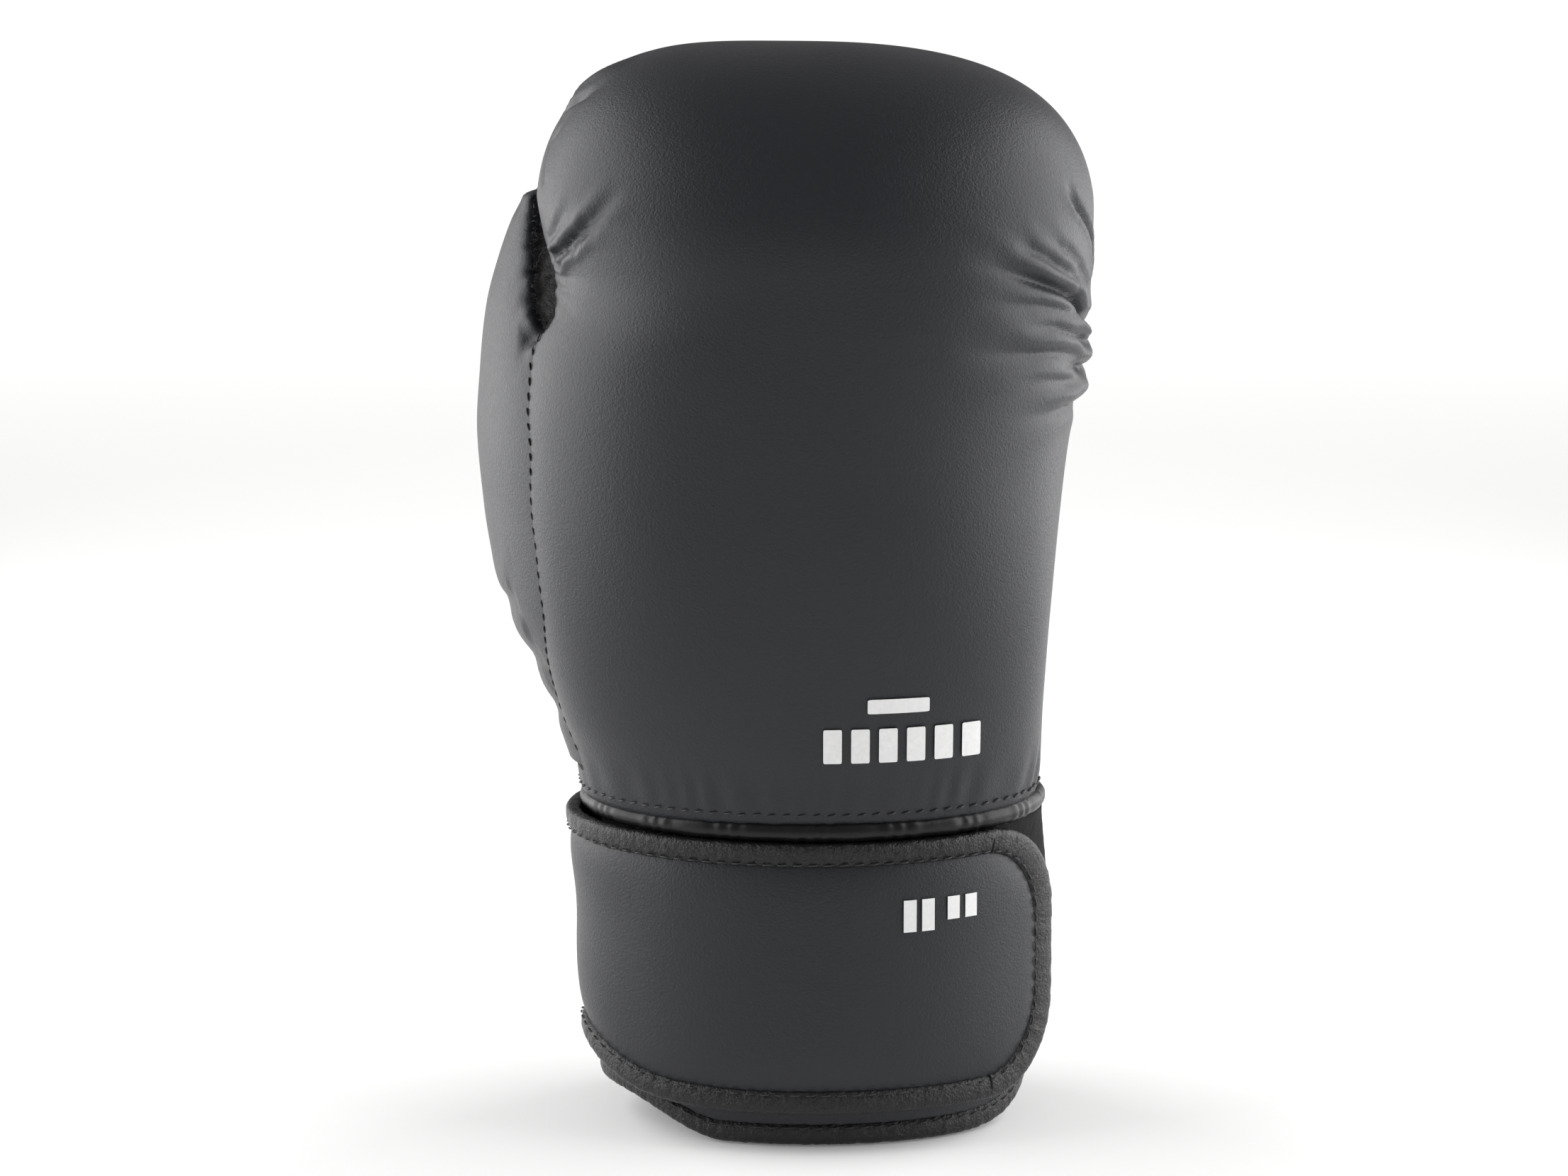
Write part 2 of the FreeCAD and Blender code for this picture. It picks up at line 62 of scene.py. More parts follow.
# Height, thumb side, little-finger side, back of the hand, palm side, squareness; mm.
HAND_STATIONS = np.array([
    (85.5, -50.0, 65.0, -41.0, 38.4, 2.05),
    (89.0, -53.5, 67.0, -44.0, 39.2, 2.10),
    (100.0, -55.0, 67.8, -46.5, 34.0, 2.12),
    (112.0, -58.7, 68.2, -49.8, 30.0, 2.15),
    (126.0, -62.0, 68.9, -53.0, 26.5, 2.20),
    (140.0, -64.2, 69.8, -55.5, 26.0, 2.25),
    (164.0, -67.8, 72.0, -58.2, 36.0, 2.30),
    (178.0, -69.8, 73.7, -59.0, 47.0, 2.30),
    (190.0, -70.5, 75.6, -59.6, 55.5, 2.32),
    (205.0, -69.0, 77.9, -60.0, 59.5, 2.35),
    (214.0, -66.3, 79.3, -60.1, 60.2, 2.38),
    (221.0, -62.6, 79.8, -60.2, 60.5, 2.40),
    (229.0, -61.0, 80.2, -60.1, 60.5, 2.43),
    (238.0, -62.8, 80.4, -60.0, 60.5, 2.45),
    (247.0, -64.8, 80.9, -60.0, 60.5, 2.45),
])
CROWN_FOOT = 235.0
CROWN_TOP = 286.0
CROWN_SQUARE_X = 2.75
CROWN_SQUARE_Y = 2.15
CROWN_LEAN = -2.0

# Height, centre X, centre Y, half width, half depth of the thumb; mm, and its turn in degrees.
THUMB_STATIONS = np.array([
    (97.0, -49.0, -8.0, 6.5, 15.0),
    (112.0, -50.8, -6.5, 8.8, 21.5),
    (126.0, -53.0, -5.0, 13.3, 28.2),
    (143.0, -55.8, -3.5, 17.2, 35.0),
    (162.0, -58.0, -2.0, 18.6, 37.0),
    (182.0, -59.2, -1.0, 19.0, 37.5),
    (200.0, -59.5, 0.5, 18.0, 35.0),
    (216.0, -60.8, 2.5, 15.2, 29.0),
    (229.0, -62.3, 5.0, 11.2, 20.5),
    (238.0, -63.6, 7.0, 7.4, 12.5),
    (243.5, -64.2, 7.5, 4.2, 7.5),
])
THUMB_TURN = math.radians(20.0)


def faired(stations, column, heights):
    """A smooth curve through one column of the stations: cubic pieces between them, with each
    station's slope the harmonic mean of its neighbours' slopes, so that it never overshoots."""
    x, y = stations[:, 0], stations[:, column]
    gap, rise = np.diff(x), np.diff(y) / np.diff(x)
    slope = np.zeros(len(x))
    same = rise[1:] * rise[:-1] > 0
    slope[1:-1][same] = 2 * rise[1:][same] * rise[:-1][same] / (rise[1:][same] + rise[:-1][same])
    slope[0], slope[-1] = rise[0], rise[-1]
    heights = np.clip(heights, x[0], x[-1])
    k = np.clip(np.searchsorted(x, heights, side="right") - 1, 0, len(x) - 2)
    t = (heights - x[k]) / gap[k]
    return (
        y[k] * (1 + 2 * t) * (1 - t) ** 2 + gap[k] * slope[k] * t * (1 - t) ** 2
        + y[k + 1] * t * t * (3 - 2 * t) + gap[k] * slope[k + 1] * t * t * (t - 1)
    )


def signed_power(value, power):
    return np.sign(value) * np.abs(value) ** power


def evened(values, *tracks):
    """Steps along a curve of points so that they are equally far apart: each track is read at
    equal shares of the length run so far."""
    run = np.concatenate([[0], np.cumsum(np.hypot(*[np.diff(t) for t in tracks]))])
    return np.interp(np.linspace(0, run[-1], values), run, np.arange(len(run)))


def hand_heights(rows):
    """Height and shrink of each row: straight up the stations, then over the crown, where a row's
    share of the full section is (1 - h^n)^(1/n) for h from 0 to 1."""
    wall = np.linspace(HAND_STATIONS[0, 0], CROWN_FOOT, 400)
    bend = np.linspace(0, 1, 1600)
    share = np.cos(bend * math.pi / 2)
    crown = (1 - share**CROWN_SQUARE_X) ** (1 / CROWN_SQUARE_X)
    height = np.concatenate([wall, CROWN_FOOT + (CROWN_TOP - CROWN_FOOT) * crown[1:]])
    across = np.concatenate([np.ones(400), share[1:]])
    pick = evened(rows, height, 70 * across)
    return np.interp(pick, np.arange(len(height)), height), np.interp(
        pick, np.arange(len(across)), across
    )


def hand_form(rows, columns, inset=0.0):
    """The hand's outside as a grid in mm: each row is a superellipse between the four sides at its
    height, and the columns are spread evenly round it from the palm's middle, by the thumb side,
    the back and the little-finger side."""
    height, share_x = hand_heights(rows)
    lift = np.clip((height - CROWN_FOOT) / (CROWN_TOP - CROWN_FOOT), 0, 1)
    share_y = np.where(lift > 0, (1 - lift**CROWN_SQUARE_Y) ** (1 / CROWN_SQUARE_Y), 1.0)
    side = [faired(HAND_STATIONS, column, height) for column in range(1, 6)]
    centre_x = (side[0] + side[1]) / 2 + CROWN_LEAN * lift**2 - 8.5 * lift**9
    centre_y = (side[2] + side[3]) / 2
    wide = ((side[1] - side[0]) / 2 - inset) * share_x
    deep = ((side[3] - side[2]) / 2 - inset) * share_y
    turn = np.linspace(-math.pi, math.pi, 2401)
    pick = evened(
        columns + 1, 72 * signed_power(np.sin(turn), 0.85), 58 * signed_power(np.cos(turn), 0.85)
    )[:-1]
    turn = np.interp(pick, np.arange(len(turn)), turn)
    power = (2 / side[4])[:, None]
    x = centre_x[:, None] + wide[:, None] * signed_power(np.sin(turn)[None, :], power)
    y = centre_y[:, None] - deep[:, None] * signed_power(np.cos(turn)[None, :], power)
    z = np.broadcast_to(height[:, None], x.shape).copy()
    rim = 0.86 * inset * np.clip(lift, 0, 1)[:, None]
    return np.stack([x, y, z - rim], axis=-1)


def thumb_frame(height):
    """The thumb's centre and half sizes at each height."""
    return [faired(THUMB_STATIONS, column, height) for column in range(1, 5)]


def with_thumb_valley(grid, grow):
    """Folds the hand's side in where the thumb lies: in every row, the columns inside the thumb's
    grown ellipse are laid along that ellipse, from the front seam round its inner side to the
    palm seam."""
    grid = grid.copy()
    height = grid[:, 0, 2]
    x, y, wide, deep = thumb_frame(height)
    wide, deep = wide + grow(height), deep + grow(height)
    dx, dy = grid[..., 0] - x[:, None], grid[..., 1] - y[:, None]
    across = dx * math.cos(THUMB_TURN) + dy * math.sin(THUMB_TURN)
    along = -dx * math.sin(THUMB_TURN) + dy * math.cos(THUMB_TURN)
    turn = np.arctan2(along / deep[:, None], across / wide[:, None])
    inside = (across / wide[:, None]) ** 2 + (along / deep[:, None]) ** 2 < 1
    reach = (height > THUMB_STATIONS[0, 0] - 1) & (height < THUMB_STATIONS[-1, 0] + 3)
    for row in np.flatnonzero(reach & (inside.sum(axis=1) > 2)):
        hit = np.flatnonzero(inside[row])
        palm_turn, front_turn = turn[row, hit[0] - 1], turn[row, hit[-1] + 1]
        palm_turn, front_turn = palm_turn % (2 * math.pi), front_turn % (2 * math.pi)
        if front_turn > palm_turn:
            front_turn -= 2 * math.pi
        step = np.linspace(palm_turn, front_turn, len(hit) + 2)[1:-1]
        out = wide[row] * np.cos(step)
        run = deep[row] * np.sin(step)
        grid[row, hit, 0] = x[row] + out * math.cos(THUMB_TURN) - run * math.sin(THUMB_TURN)
        grid[row, hit, 1] = y[row] + out * math.sin(THUMB_TURN) + run * math.cos(THUMB_TURN)
    return grid


def outward(grid, closed=True):
    """Unit normals of a grid: the cross product of its differences along the two ways."""
    if closed:
        round_way = np.roll(grid, -1, axis=1) - np.roll(grid, 1, axis=1)
    else:
        round_way = np.gradient(grid, axis=1)
    up_way = np.gradient(grid, axis=0)
    normal = np.cross(round_way, up_way)
    size = np.linalg.norm(normal, axis=-1, keepdims=True)
    return np.where(size < 1e-6, [0.0, 0.0, 1.0], normal / np.maximum(size, 1e-9))


def near_line(points, line, step=1.0):
    """Distance of each point to a bent line, and the share of the line's length at the nearest
    place: the line is walked in equal steps, and each step is first moved to the nearest point."""
    line = np.asarray(line, float)
    run = np.concatenate([[0], np.cumsum(np.linalg.norm(np.diff(line, axis=0), axis=1))])
    count = max(int(run[-1] / step), 3)
    share = np.linspace(0, 1, count)
    walk = np.stack([np.interp(share * run[-1], run, line[:, k]) for k in range(3)], axis=-1)
    flat = points.reshape(-1, 3)
    for k in range(count):
        walk[k] = flat[np.argmin(((flat - walk[k]) ** 2).sum(axis=1))]
    for _ in range(2):
        walk[1:-1] = (walk[:-2] + 2 * walk[1:-1] + walk[2:]) / 4
    best = np.full(len(flat), 1e9)
    at = np.zeros(len(flat))
    for k in range(count):
        far = ((flat - walk[k]) ** 2).sum(axis=1)
        closer = far < best
        best[closer], at[closer] = far[closer], share[k]
    return np.sqrt(best).reshape(points.shape[:-1]), at.reshape(points.shape[:-1])


def smooth(share):
    """Cuts a share to 0..1 and eases it at both ends: s^2 (3 - 2 s)."""
    share = np.clip(share, 0, 1)
    return share * share * (3 - 2 * share)


def front_y(x, z):
    """The hand's front at x and z: the superellipse solved for its back-of-hand side."""
    z = np.asarray(z, float)
    side = [faired(HAND_STATIONS, column, z) for column in range(1, 6)]
    centre_x, wide = (side[0] + side[1]) / 2, (side[1] - side[0]) / 2
    centre_y, deep = (side[2] + side[3]) / 2, (side[3] - side[2]) / 2
    lift = np.clip((z - CROWN_FOOT) / (CROWN_TOP - CROWN_FOOT), 0, 0.999)
    deep = deep * (1 - lift**CROWN_SQUARE_Y) ** (1 / CROWN_SQUARE_Y)
    wide = wide * (1 - lift**CROWN_SQUARE_X) ** (1 / CROWN_SQUARE_X)
    share = np.clip(np.abs((np.asarray(x, float) - centre_x) / wide), 0, 1)
    return centre_y - deep * (1 - share ** side[4]) ** (1 / side[4])


def on_front(*places):
    """Points on the hand's front from pairs of X and Z."""
    return [(x, float(front_y(x, z)), z) for x, z in places]


def folded(grid, normal, line, depth, width, start=0.25, end=0.25, ridge=0.0):
    """Presses a fold along a line: depth times exp(-(d / width)^2), fading and widening over the
    first and last shares of the line, with a low ridge on both sides where the leather rises."""
    far, at = near_line(grid, line)
    fade = smooth(np.clip(at / start, 0, 1) * np.clip((1 - at) / end, 0, 1))
    width = width * (2.0 - fade)
    press = -depth * np.exp(-((far / width) ** 2))
    press += ridge * np.exp(-(((far - 2.2 * width) / (1.2 * width)) ** 2))
    return grid + normal * (fade * press)[..., None]


def ripple(points, scale, seed):
    """Smooth uneven waves in three dimensions: six sines with fixed odd directions."""
    chance = np.random.default_rng(seed)
    waves = np.zeros(points.shape[:-1])
    for _ in range(6):
        way = chance.normal(size=3)
        way /= np.linalg.norm(way)
        waves += np.sin(points @ way * (2 * math.pi / scale) * chance.uniform(0.6, 1.5)
                        + chance.uniform(0, 6.3))
    return waves / 6


HAND_ROWS, HAND_COLUMNS = 320, 520
TIP_FREE, TIP_GAP = 214.0, 3.6


def valley_gap(height):
    """The gap round the thumb: close at its root, wide at the free tip."""
    return 0.2 + TIP_GAP * smooth((height - TIP_FREE + 4) / 9)


hand = hand_form(HAND_ROWS, HAND_COLUMNS)
hand_normal = outward(hand)

# Valleys of the little-finger side: places as degrees round from the back and height, then depth
# and width.  The first, third, fifth and last part the rolls that stand out at the side.
FINGER_VALLEYS = (
    (((34, 238), (43, 235.7), (52, 231.4), (62, 227), (69, 223.2), (73, 219.5), (76, 216.8),
      (86, 213), (150, 212)), 3.4, 1.5),
    (((34, 226.6), (44, 226.8), (54, 224.7), (63, 221.8), (70, 219.6), (74, 218)), 1.9, 1.9),
    (((40, 220), (51, 219.6), (60, 217.8), (69, 214.4), (75, 211.6), (86, 208.4),
      (150, 207.4)), 2.0, 1.5),
    (((32, 216), (42, 213.6), (54, 211.8), (64, 210.4), (74, 208.6), (78, 207.6)), 2.0, 2.2),
    (((56, 208.6), (62, 207.4), (68, 206.2), (76, 204), (86, 202.2), (150, 201.2)), 2.6, 1.7),
    (((44, 207), (55, 205), (64, 203), (72, 201.4), (76, 200.4)), 1.5, 1.5),
    (((52, 200.1), (60, 200.1), (67, 200.6), (72, 200.6)), 1.0, 1.3),
    (((46, 196.2), (60, 195), (68, 195), (78, 194.2), (88, 193.2), (150, 192.6)), 1.2, 1.7),
)
ROLL_HEIGHTS = (1.5, 2.7, 2.4)
# Creases of the fold that comes down the little-finger edge from the knuckles: line, depth,
# width and ridge.
EDGE_CREASES = (
    (on_front((72, 256), (74.2, 250.2), (74.9, 248.2), (76.6, 245.1), (78.4, 241.2), (79.3, 237.5),
              (79.6, 231), (79.4, 224)), 1.9, 0.9, 0.6),
    (on_front((64.6, 242.4), (69.3, 239.8), (73.2, 236.7), (76.2, 232.1), (77.8, 228.1),
              (79.0, 222.6)), 1.0, 1.3, 0.3),
    (on_front((57.2, 241.9), (62.3, 239.3), (67.0, 236.8), (70.3, 233.7), (74.2, 230.4),
              (76.3, 227.8)), 1.2, 1.5, 0.4),
)
# Folds that run from the end of the thumb seam up over the back.
THUMB_FOLDS = (
    (on_front((-59.8, 232.8), (-56.7, 237.2), (-52.4, 242.9), (-47.2, 248.4), (-44.6, 251.6),
              (-41.6, 254.5), (-39.5, 256.8)), 2.6, 1.1, 0.9),
    (on_front((-59, 231), (-56.8, 233.8), (-53.5, 238.2), (-50.8, 241.9), (-47.7, 244.5),
              (-43.6, 246.5), (-40.6, 248.7)), 1.7, 1.0, 0.6),
    (on_front((-60.4, 237), (-59.3, 240.3), (-57.1, 245.4), (-54.9, 249.4), (-51.8, 253.8)),
     0.7, 1.2, 0.2),
    (on_front((-62, 251), (-61.2, 257.5), (-59.8, 261.6), (-57.1, 265.5), (-54.6, 268.9),
              (-52.6, 271.1)), 0.9, 1.3, 0.2),
    (on_front((-60, 229), (-55, 229.5), (-49, 231)), 0.6, 1.2, 0.2),
    (on_front((-60, 226.5), (-55, 226.3), (-50, 226.6)), 0.6, 1.1, 0.2),
    (on_front((-60, 223.5), (-56, 222.6), (-51, 222)), 0.4, 1.1, 0.1),
)
# The crease over the thumb-side shoulder, where the finger roll is sewn behind the back panel.
SHOULDER_CREASE = [(-60, 4, 262), (-57.5, 1, 267), (-54.5, -3, 270.5), (-50.5, -8, 273.5),
                   (-44, -12, 277)]
FINGER_ROLL_BUMP = [(-57, 6, 268), (-51, 4, 274.5), (-44, 1, 279.5), (-36, -2, 282.5)]


def gathered(grid, normal):
    """The little-finger side: between two parting valleys the leather stands out as a half-round
    roll, sqrt(4 u (1 - u)) across, that grows towards the side; then each valley is pressed in by
    exp(-|d / width|^1.4), where d is the height above it."""
    turn = np.degrees(np.arctan2(grid[..., 0] - 6, -grid[..., 1]))
    turn = np.where(turn < -90, turn + 360, turn)
    level = grid[..., 2]
    middle = [np.interp(turn, *zip(*places)) for places, _, _ in FINGER_VALLEYS]
    push = np.zeros_like(level)
    parting = [middle[k] for k in (0, 2, 4, 7)]
    grown = smooth((turn - 52) / 34) * smooth((158 - turn) / 40)
    for upper, lower, height in zip(parting[:-1], parting[1:], ROLL_HEIGHTS):
        across = np.clip((level - lower) / (upper - lower), 0, 1)
        push += height * grown * np.sqrt(4 * across * (1 - across))
    for (places, depth, width), line in zip(FINGER_VALLEYS, middle):
        fade = smooth((turn - places[0][0]) / 26) * smooth((places[-1][0] + 8 - turn) / 16)
        fade *= 1 - 0.6 * smooth((turn - 77) / 12)
        far = np.abs(level - line) / (width * (2.4 - 1.4 * fade))
        lip = 0.28 * np.exp(-(((far - 2.2) / 1.1) ** 2))
        push += fade * depth * (lip - np.exp(-(far**1.4)))
    return grid + normal * push[..., None]


def shaped_leather(grid, normal):
    """All the folds, then the gathers above the welt and slow waves all over."""
    grid = gathered(grid, normal)
    for line, depth, width, ridge in EDGE_CREASES:
        grid = folded(grid, normal, line, depth, width, 0.3, 0.15, ridge)
    for line, depth, width, ridge in THUMB_FOLDS:
        grid = folded(grid, normal, line, depth, width, 0.08, 0.6, ridge)
    grid = folded(grid, normal, FINGER_ROLL_BUMP, -1.6, 4.5, 0.3, 0.6)
    grid = folded(grid, normal, SHOULDER_CREASE, 1.8, 1.6, 0.3, 0.6, 0.3)
    around = np.arctan2(grid[..., 0] - 6, -grid[..., 1])
    low = np.exp(-(((grid[..., 2] - 95) / 6.5) ** 2))
    uneven = 0.55 + 0.45 * np.sin(around * 7.0 + 1.0) * np.sin(around * 3.1)
    gather = 0.34 * np.sin(around * 46 + 2.2 * np.sin(around * 9)) * low * uneven
    slow = 0.28 * ripple(grid, 46.0, 3)
    return grid + normal * (gather + slow)[..., None]


hand = shaped_leather(hand, hand_normal)
hand = with_thumb_valley(hand, valley_gap)


def piece_of(name, points, faces):
    """An object in the scene, from points in mm and faces."""
    mesh = bpy.data.meshes.new(name)
    mesh.from_pydata((points * MM).tolist(), [], faces)
    piece = bpy.data.objects.new(name, mesh)
    bpy.context.scene.collection.objects.link(piece)
    return piece


def sewn_piece(name, grid, closed=True, pole=None, keep=None, capped=False):
    """A mesh from a grid of points in mm: four-sided faces between neighbours, the last column
    joined to the first when closed, one end drawn to a point, and only the faces in keep."""
    rows, columns = grid.shape[:2]
    points = grid.reshape(-1, 3)
    index = np.arange(rows * columns).reshape(rows, columns)
    right = np.roll(index, -1, axis=1) if closed else index[:, 1:]
    left = index if closed else index[:, :-1]
    faces = np.stack([left[:-1], right[:-1], right[1:], left[1:]], axis=-1)
    if keep is not None:
        faces = faces[keep]
    faces = [tuple(face) for face in faces.reshape(-1, 4).tolist()]
    for end in pole or ():
        ring = index[-1] if end == "top" else index[0][::-1]
        points = np.vstack([points, points[ring].mean(axis=0)])
        tip = len(points) - 1
        faces += [(a, b, tip) for a, b in zip(ring.tolist(), np.roll(ring, -1).tolist())]
    piece = piece_of(name, points, faces)
    closed_up(piece.data, capped)
    piece.data.shade_smooth()
    return piece


def closed_up(mesh, capped):
    """Merges points that lie on each other, so that seams and poles are closed, drops points that
    no face uses, and fills the open ends of a tape or roll when it is capped."""
    seam = bmesh.new()
    seam.from_mesh(mesh)
    bmesh.ops.remove_doubles(seam, verts=seam.verts, dist=2e-6)
    bmesh.ops.dissolve_degenerate(seam, edges=seam.edges, dist=1e-7)
    bmesh.ops.delete(seam, geom=[v for v in seam.verts if not v.link_faces], context="VERTS")
    if capped:
        bmesh.ops.holes_fill(seam, edges=[e for e in seam.edges if e.is_boundary], sides=0)
    seam.to_mesh(mesh)
    seam.free()


def given_wall(piece, thickness):
    """Gives a sheet its thickness, inwards from its outer face."""
    wall = piece.modifiers.new("wall", "SOLIDIFY")
    wall.thickness = thickness * MM
    wall.offset = -1
    wall.use_rim = True
    return piece


def wired(tree, kind, inputs=None, **settings):
    """A material node with its settings and inputs set; an input is a value or another socket."""
    node = tree.nodes.new(kind)
    for name, value in settings.items():
        setattr(node, name, value)
    for name, value in (inputs or {}).items():
        socket = node.inputs[name]
        if isinstance(value, bpy.types.NodeSocket):
            tree.links.new(value, socket)
        else:
            socket.default_value = value
    return node


def blank_material(name):
    """A new material with its node tree, its shader and its Object coordinates."""
    material = bpy.data.materials.new(name)
    material.use_nodes = True
    tree = material.node_tree
    place = wired(tree, "ShaderNodeTexCoord").outputs["Object"]
    return material, tree, tree.nodes["Principled BSDF"], place


def toned(tree, shader, share, dark, light):
    """Colours the surface from dark to light by a share."""
    tone = wired(tree, "ShaderNodeMix", {
        "Factor": share, "A": (*dark, 1), "B": (*light, 1)}, data_type="RGBA")
    tree.links.new(tone.outputs["Result"], shader.inputs["Base Color"])


def bumped(tree, shader, height, depth, strength=1.0):
    """Raises the surface by a height as bump, depth in mm."""
    bump = wired(tree, "ShaderNodeBump", {
        "Height": height, "Strength": strength, "Distance": depth * MM})
    tree.links.new(bump.outputs["Normal"], shader.inputs["Normal"])


def combined(tree, operation, first, second):
    """The sum, product or other of two values."""
    return wired(tree, "ShaderNodeMath", {0: first, 1: second}, operation=operation).outputs[0]


def coated_leather(name, dark, light, rough, grain, depth, gloss=0.5, wrinkle=0.0):
    """Coated leather: a cell pattern as the grain, a fine noise as its pores that also varies the
    gloss, a slow noise that shifts colour, and for wrinkled tape a distorted noise under them."""
    material, tree, shader, place = blank_material(name)
    cells = wired(tree, "ShaderNodeTexVoronoi", {"Vector": place, "Scale": 1 / (grain * MM)},
                  feature="SMOOTH_F1")
    pores = wired(tree, "ShaderNodeTexNoise", {
        "Vector": place, "Scale": 0.6 / (grain * MM), "Detail": 5.0, "Roughness": 0.6})
    patches = wired(tree, "ShaderNodeTexNoise", {"Vector": place, "Scale": 22.0, "Detail": 3.0})
    toned(tree, shader, patches.outputs["Fac"], dark, light)
    sheen_map = wired(tree, "ShaderNodeMapRange", {
        "Value": pores.outputs["Fac"], "From Min": 0.3, "From Max": 0.7,
        "To Min": rough - 0.05, "To Max": rough + 0.06})
    tree.links.new(sheen_map.outputs["Result"], shader.inputs["Roughness"])
    shader.inputs["Specular IOR Level"].default_value = gloss
    shader.inputs["Coat Roughness"].default_value = 0.25
    surface = combined(tree, "MULTIPLY", cells.outputs["Distance"], 0.55)
    height = combined(tree, "ADD", surface, pores.outputs["Fac"])
    if wrinkle:
        crumple = wired(tree, "ShaderNodeTexNoise", {
            "Vector": place, "Scale": 620.0, "Detail": 3.0, "Roughness": 0.65, "Distortion": 1.6})
        fold = combined(tree, "MULTIPLY", crumple.outputs["Fac"], wrinkle)
        height = combined(tree, "ADD", height, fold)
    bumped(tree, shader, height, depth)
    return material


PANEL_LEATHER = coated_leather(
    "matte_black_leather", (0.0092, 0.0104, 0.0136), (0.0140, 0.0154, 0.0196), 0.43, 0.48, 0.13,
    0.40)


def finished(piece, material, body, *nodes, fill=None, slot="black_leather"):
    """Gives a piece its material and body, and hides the CAD nodes it stands for."""
    piece.data.materials.clear()
    piece.data.materials.append(material)
    if body:
        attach(piece, body)
    if nodes:
        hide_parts(*nodes)
    return piece


PALM_TOP, PALM_PLANE = 172.0, 6.0


def palm_side(grid):
    """True for the faces of the palm panel: behind the palm plane and under the finger roll."""
    middle = (grid[:-1] + np.roll(grid, -1, axis=1)[1:]) / 2
    return (middle[..., 1] > PALM_PLANE) & (middle[..., 2] < PALM_TOP)


palm_faces = palm_side(hand)
back_panel = sewn_piece("back_panel_leather", hand, pole=("top",), keep=~palm_faces)
finished(back_panel, PANEL_LEATHER, "glove", "back_panel", fill=0.9)

# =============================================================================================
# Palm panel.  A second piece of the same leather over the heel and the palm, sewn to the back
# panel along both sides and under the finger roll.
# =============================================================================================

palm_panel = sewn_piece("palm_panel_leather", hand, keep=palm_faces)
finished(palm_panel, PANEL_LEATHER, "glove", "palm_panel", fill=0.7)

# =============================================================================================
# Hand padding.  Two moulded foam shells lie 5.5 mm inside the unfolded hand, sunk in at the thumb.
# =============================================================================================


def foamed(name, density):
    """Open-cell foam: small pits as bumps, and a pale colour that darkens in them as painted
    shade.
    """
    material, tree, shader, place = blank_material(name)
    pits = wired(tree, "ShaderNodeTexVoronoi", {"Vector": place, "Scale": density})
    # Painted shade: the colour darkens towards each pit's middle, by the distance that also sets
    # the bump.
    toned(tree, shader, pits.outputs["Distance"], (0.10, 0.10, 0.10), (0.17, 0.17, 0.17))
    shader.inputs["Roughness"].default_value = 0.95
    bumped(tree, shader, pits.outputs["Distance"], 0.4, 0.6)
    return material


FOAM = foamed("open_cell_foam", 1500.0)
padding = with_thumb_valley(hand_form(160, 260, 5.5), lambda height: valley_gap(height) + 5.5)
palm_padded = palm_side(hand_form(160, 260))
for name, node, kept, ends in (
    ("back_padding_foam", "outer_foam", ~palm_padded, ("top",)),
    ("palm_padding_foam", "palm_pad", palm_padded, None),
):
    shell = given_wall(sewn_piece(name, padding, pole=ends, keep=kept), 3.5)
    finished(shell, FOAM, "glove", node, fill=0.9, slot="foam")

# =============================================================================================
# Thumb.  Its own padded pocket of leather, sewn down beside the back panel; the tip stands free
# of the fist, and the side that faces the fist is lined with napped cloth.
# =============================================================================================

THUMB_ROWS, THUMB_COLUMNS = 150, 190


def thumb_form(rows, columns, inset=0.0):
    """The thumb's outside: an ellipse turned about Z at each height, closed over at the tip by
    rows that shrink as a quarter circle."""
    top = THUMB_STATIONS[-1]
    wall = np.linspace(THUMB_STATIONS[0, 0], top[0], 300)
    bend = np.linspace(0, math.pi / 2, 60)[1:]
    height = np.concatenate([wall, top[0] + 2.6 * np.sin(bend)])
    share = np.concatenate([np.ones(300), np.cos(bend)])
    wide_run = faired(THUMB_STATIONS, 3, height) * share
    pick = evened(rows, height, wide_run)
    height = np.interp(pick, np.arange(len(height)), height)
    share = np.interp(pick, np.arange(len(share)), share)
    x, y, wide, deep = thumb_frame(height)
    turn = np.linspace(0, 2 * math.pi, columns, endpoint=False)[None, :]
    across = ((wide - inset) * share)[:, None] * np.cos(turn)
    along = ((deep - inset) * share)[:, None] * np.sin(turn)
    return np.stack([
        x[:, None] + across * math.cos(THUMB_TURN) - along * math.sin(THUMB_TURN),
        y[:, None] + across * math.sin(THUMB_TURN) + along * math.cos(THUMB_TURN),
        np.broadcast_to(height[:, None], across.shape),
    ], axis=-1)


thumb = thumb_form(THUMB_ROWS, THUMB_COLUMNS)
thumb_normal = outward(thumb)
THUMB_CREASES = (
    ([(-63.5, -24, 216.5), (-67, -24, 214), (-73, -19, 211)], 2.6, 2.2, 0.2),
    ([(-63, -20, 224), (-69, -19, 223), (-74, -14, 222)], 0.45, 1.5, 0.2),
    ([(-63, -17, 230), (-69, -15, 229.5), (-73, -10, 229)], 0.5, 1.4, 0.2),
    ([(-62, -12, 236), (-68, -9, 236), (-71, -4, 235.5)], 0.5, 1.3, 0.2),
    ([(-64, -21, 219.5), (-70, -20, 218.5)], 0.4, 1.2, 0.2),
    ([(-72, -16, 140), (-76, 2, 137), (-74, 18, 136)], 0.9, 3.0, 0.4),
    ([(-68, -18, 125), (-71, 0, 121), (-68, 16, 119)], 0.8, 3.0, 0.4),
    ([(-63, -18, 112), (-65, -2, 108), (-62, 12, 107)], 0.7, 2.6, 0.3),
)
for line, depth, width, ridge in THUMB_CREASES:
    thumb = folded(thumb, thumb_normal, line, depth, width, 0.15, 0.5, ridge)
thumb = thumb + thumb_normal * (0.22 * ripple(thumb, 34.0, 8))[..., None]
